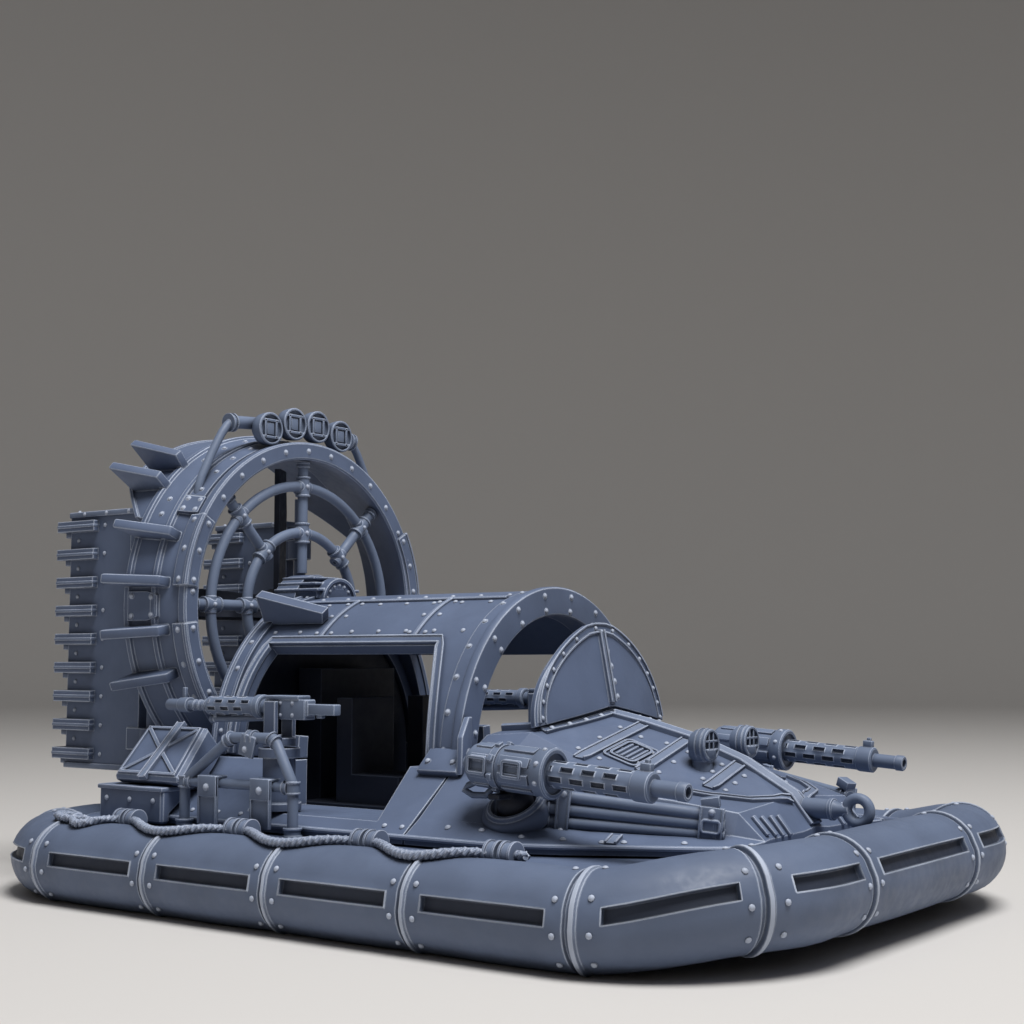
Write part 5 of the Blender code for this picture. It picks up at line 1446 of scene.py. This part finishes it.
# %% Ropes on the skirt
SLEEVES_X = [-40.0, -14.0, 12.0, 36.0]
ROPE_Y, ROPE_Z = 45.9, 13.5
# degrees round the tube where the rope is tight and where it is slackest
ROPE_HIGH, ROPE_LOW = 108.0, 66.0
# (x, y) of the hitch at the aft end
ROPE_LOOP = [(-46.0, 49.6), (-49.0, 50.1), (-52.0, 49.9), (-54.4, 49.0), (-55.3, 47.7), (-54.6, 46.5), (-52.6, 46.0)]


def rope_path(side):
    """Hitched aft in a loop, then slack over the tube's shoulder from sleeve to sleeve."""
    lift = TUBE_RADIUS + 0.72
    places = []
    for (x, y), (next_x, next_y) in zip(ROPE_LOOP, ROPE_LOOP[1:]):
        for share in (0.0, 0.2, 0.4, 0.6, 0.8):
            out = y + (next_y - y) * share
            height = TUBE_HEIGHT + math.sqrt(lift ** 2 - (out - TRACK_Y) ** 2)
            places.append(Vector((x + (next_x - x) * share, side * out, height)))
    runs = [ROPE_LOOP[-1][0]] + SLEEVES_X
    for start, end in zip(runs, runs[1:]):
        count = round((end - start) / 0.45)
        for step in range(count):
            sag = math.sin(math.pi * step / count) ** 1.4
            turn = math.radians(ROPE_HIGH + (ROPE_LOW - ROPE_HIGH) * sag)
            out, height = TRACK_Y + lift * math.cos(turn), TUBE_HEIGHT + lift * math.sin(turn)
            places.append(Vector((start + (end - start) * step / count, side * out, height)))
    return places + [Vector((SLEEVES_X[-1] + 0.5 * step, side * ROPE_Y, ROPE_Z)) for step in range(9)]


def twist_rope(bm, path, strands=3, radius=0.4, offset=0.36, pitch=2.5):
    """Lay strands round a path, each one a thin pipe on a helix."""
    ways = ways_along(path, False)
    for strand in range(strands):
        walked, places = 0.0, []
        for index, (place, way) in enumerate(zip(path, ways)):
            walked += (place - path[index - 1]).length if index else 0.0
            turn = math.tau * (walked / pitch + strand / strands)
            side = way.cross(Vector((0, 0, 1))).normalized()
            places.append(place + (side * math.cos(turn) + side.cross(way) * math.sin(turn)) * offset)
        pipe(bm, places, radius, 8)


def add_ropes():
    for side, word in SIDES:
        bm = bmesh.new()
        twist_rope(bm, rope_path(side))
        for x in SLEEVES_X:
            for offset in (-1.3, 1.3):
                collar(bm, (x + offset, side * ROPE_Y, ROPE_Z), (1, 0, 0), 1.6, 1.0, 0.28, 0.4)
            block(bm, (x - 2.0, side * ROPE_Y - 1.2, 12.6), (x + 2.0, side * ROPE_Y + 1.2, 13.4), bevel=0.25)
        finish("rope_" + word, bm, TRIM, stands_for=["grab_rope_" + word])


add_ropes()

# %% Towing eye
EYE_X, EYE_HEIGHT, EYE_RADIUS = 66.7, 17.5, 1.8


def add_tow_eye():
    bm = bmesh.new()
    profile = [
        (58.2, 0), (58.2, 1.55), (62.3, 1.45), (62.4, 1.65), (62.9, 1.65), (63.0, 1.35), (63.7, 1.0), (65.3, 0.85),
        (65.3, 0),
    ]
    turn_profile(bm, profile, (0, 0, EYE_HEIGHT), (1, 0, 0), 28)
    turns = [math.tau * step / 32 for step in range(32)]
    ring = [(EYE_X + EYE_RADIUS * math.cos(turn), 0, EYE_HEIGHT + EYE_RADIUS * math.sin(turn)) for turn in turns]
    pipe(bm, ring, 0.8, 14, True)
    return finish("towing_eye", bm, FITTINGS, stands_for=["tow_eye"])


add_tow_eye()

# %% [markdown]
# The rudders keep their solid plates and teeth. What is added rides on each rudder's body.

# %% Rudders
RUDDER_Y, RUDDER_TIP, RUDDER_LOW, RUDDER_HIGH, TEETH = 19.3, -92.2, 18.8, 68.3, 9


def add_rudder_details():
    """Caps, rivets and the lugs under the teeth; the plates and teeth are the solids themselves."""
    pitch = (RUDDER_HIGH - RUDDER_LOW) / TEETH
    for side, word in SIDES:
        bm = bmesh.new()
        y = side * RUDDER_Y
        for z in (RUDDER_LOW - 0.1, RUDDER_HIGH - 1.0):
            block(bm, (-89.7, y - 1.5, z), (-68.2, y + 1.5, z + 1.1), bevel=0.2)
        for tooth in range(TEETH):
            z = RUDDER_LOW + pitch * (tooth + 0.5)
            block(bm, (-91.4, y - 0.9, z - 2.1), (-89.3, y + 0.9, z - 0.9), bevel=0.2)
            block(bm, (RUDDER_TIP - 0.02, y - 2.45, z - 0.3), (RUDDER_TIP + 11.1, y + 2.45, z + 0.3), bevel=0.12)
            for face in (-1, 1):
                rivet(bm, (-87.0, y + face * 1.1, z + pitch / 2), (0, face, 0), RIVET)
                rivet(bm, (-79.2, y + face * 1.1, z), (0, face, 0), RIVET)
        for x in (-72.0, -78.5, -85.0):
            for face in (-1, 1):
                rivet(bm, (x, y + face * 1.5, RUDDER_HIGH - 0.45), (0, face, 0), 0.38)
        finish("rudder_trim_" + word, bm, TRIM, body="rudder_" + word)


add_rudder_details()

# %% [markdown]
# A pale floor that curves up into a round wall makes a plain studio. One large soft lamp stands above
# and ahead of the bow, so that tops and front faces read bright and the near side stays in shade, as
# on the photograph. The weak sky over the open wall keeps that shade from going black.

# %% Floor and light
FLOOR_TONE = (0.62, 0.6, 0.58)
# the studio's outline: distance from the middle and height, in metres
STUDIO_FLAT, STUDIO_CURVE, STUDIO_TOP = 1.15, 0.45, 1.7


def add_floor():
    outline_points = [(0.0, 0.0), (STUDIO_FLAT, 0.0)]
    for step in range(1, 13):
        turn = math.pi / 2 * step / 12
        outline_points.append((STUDIO_FLAT + STUDIO_CURVE * math.sin(turn), STUDIO_CURVE * (1 - math.cos(turn))))
    outline_points.append((STUDIO_FLAT + STUDIO_CURVE, STUDIO_TOP))
    bm = bmesh.new()
    turn_profile(bm, [(height, reach) for reach, height in outline_points], (0, 0, 0), (0, 0, 1), 96)
    bmesh.ops.recalc_face_normals(bm, faces=bm.faces)
    mesh = bpy.data.meshes.new("floor")
    bm.to_mesh(mesh)
    bm.free()
    mesh.shade_smooth()
    floor = bpy.data.objects.new("floor", mesh)
    bpy.context.scene.collection.objects.link(floor)
    material = bpy.data.materials.new("floor")
    material.use_nodes = True
    shader = material.node_tree.nodes["Principled BSDF"]
    shader.inputs["Base Color"].default_value = (*FLOOR_TONE, 1.0)
    shader.inputs["Roughness"].default_value = 0.7
    mesh.materials.append(material)


def add_lamp(name, place, target, size, power):
    lamp = bpy.data.lights.new(name, "AREA")
    lamp.shape = "DISK"
    lamp.size = size
    lamp.energy = power
    light = bpy.data.objects.new(name, lamp)
    light.location = place
    light.rotation_euler = (Vector(target) - Vector(place)).to_track_quat("-Z", "Y").to_euler()
    bpy.context.scene.collection.objects.link(light)


def add_world():
    world = bpy.data.worlds.new("studio")
    world.use_nodes = True
    world.node_tree.nodes["Background"].inputs["Color"].default_value = (0.75, 0.76, 0.78, 1.0)
    world.node_tree.nodes["Background"].inputs["Strength"].default_value = 0.24
    bpy.context.scene.world = world


add_floor()
add_world()
add_lamp("key", (0.24, -0.1, 0.7), (0.0, 0.0, 0.03), 0.4, 6.4)
bpy.context.scene.view_settings.view_transform = "Standard"
print("studio ready")
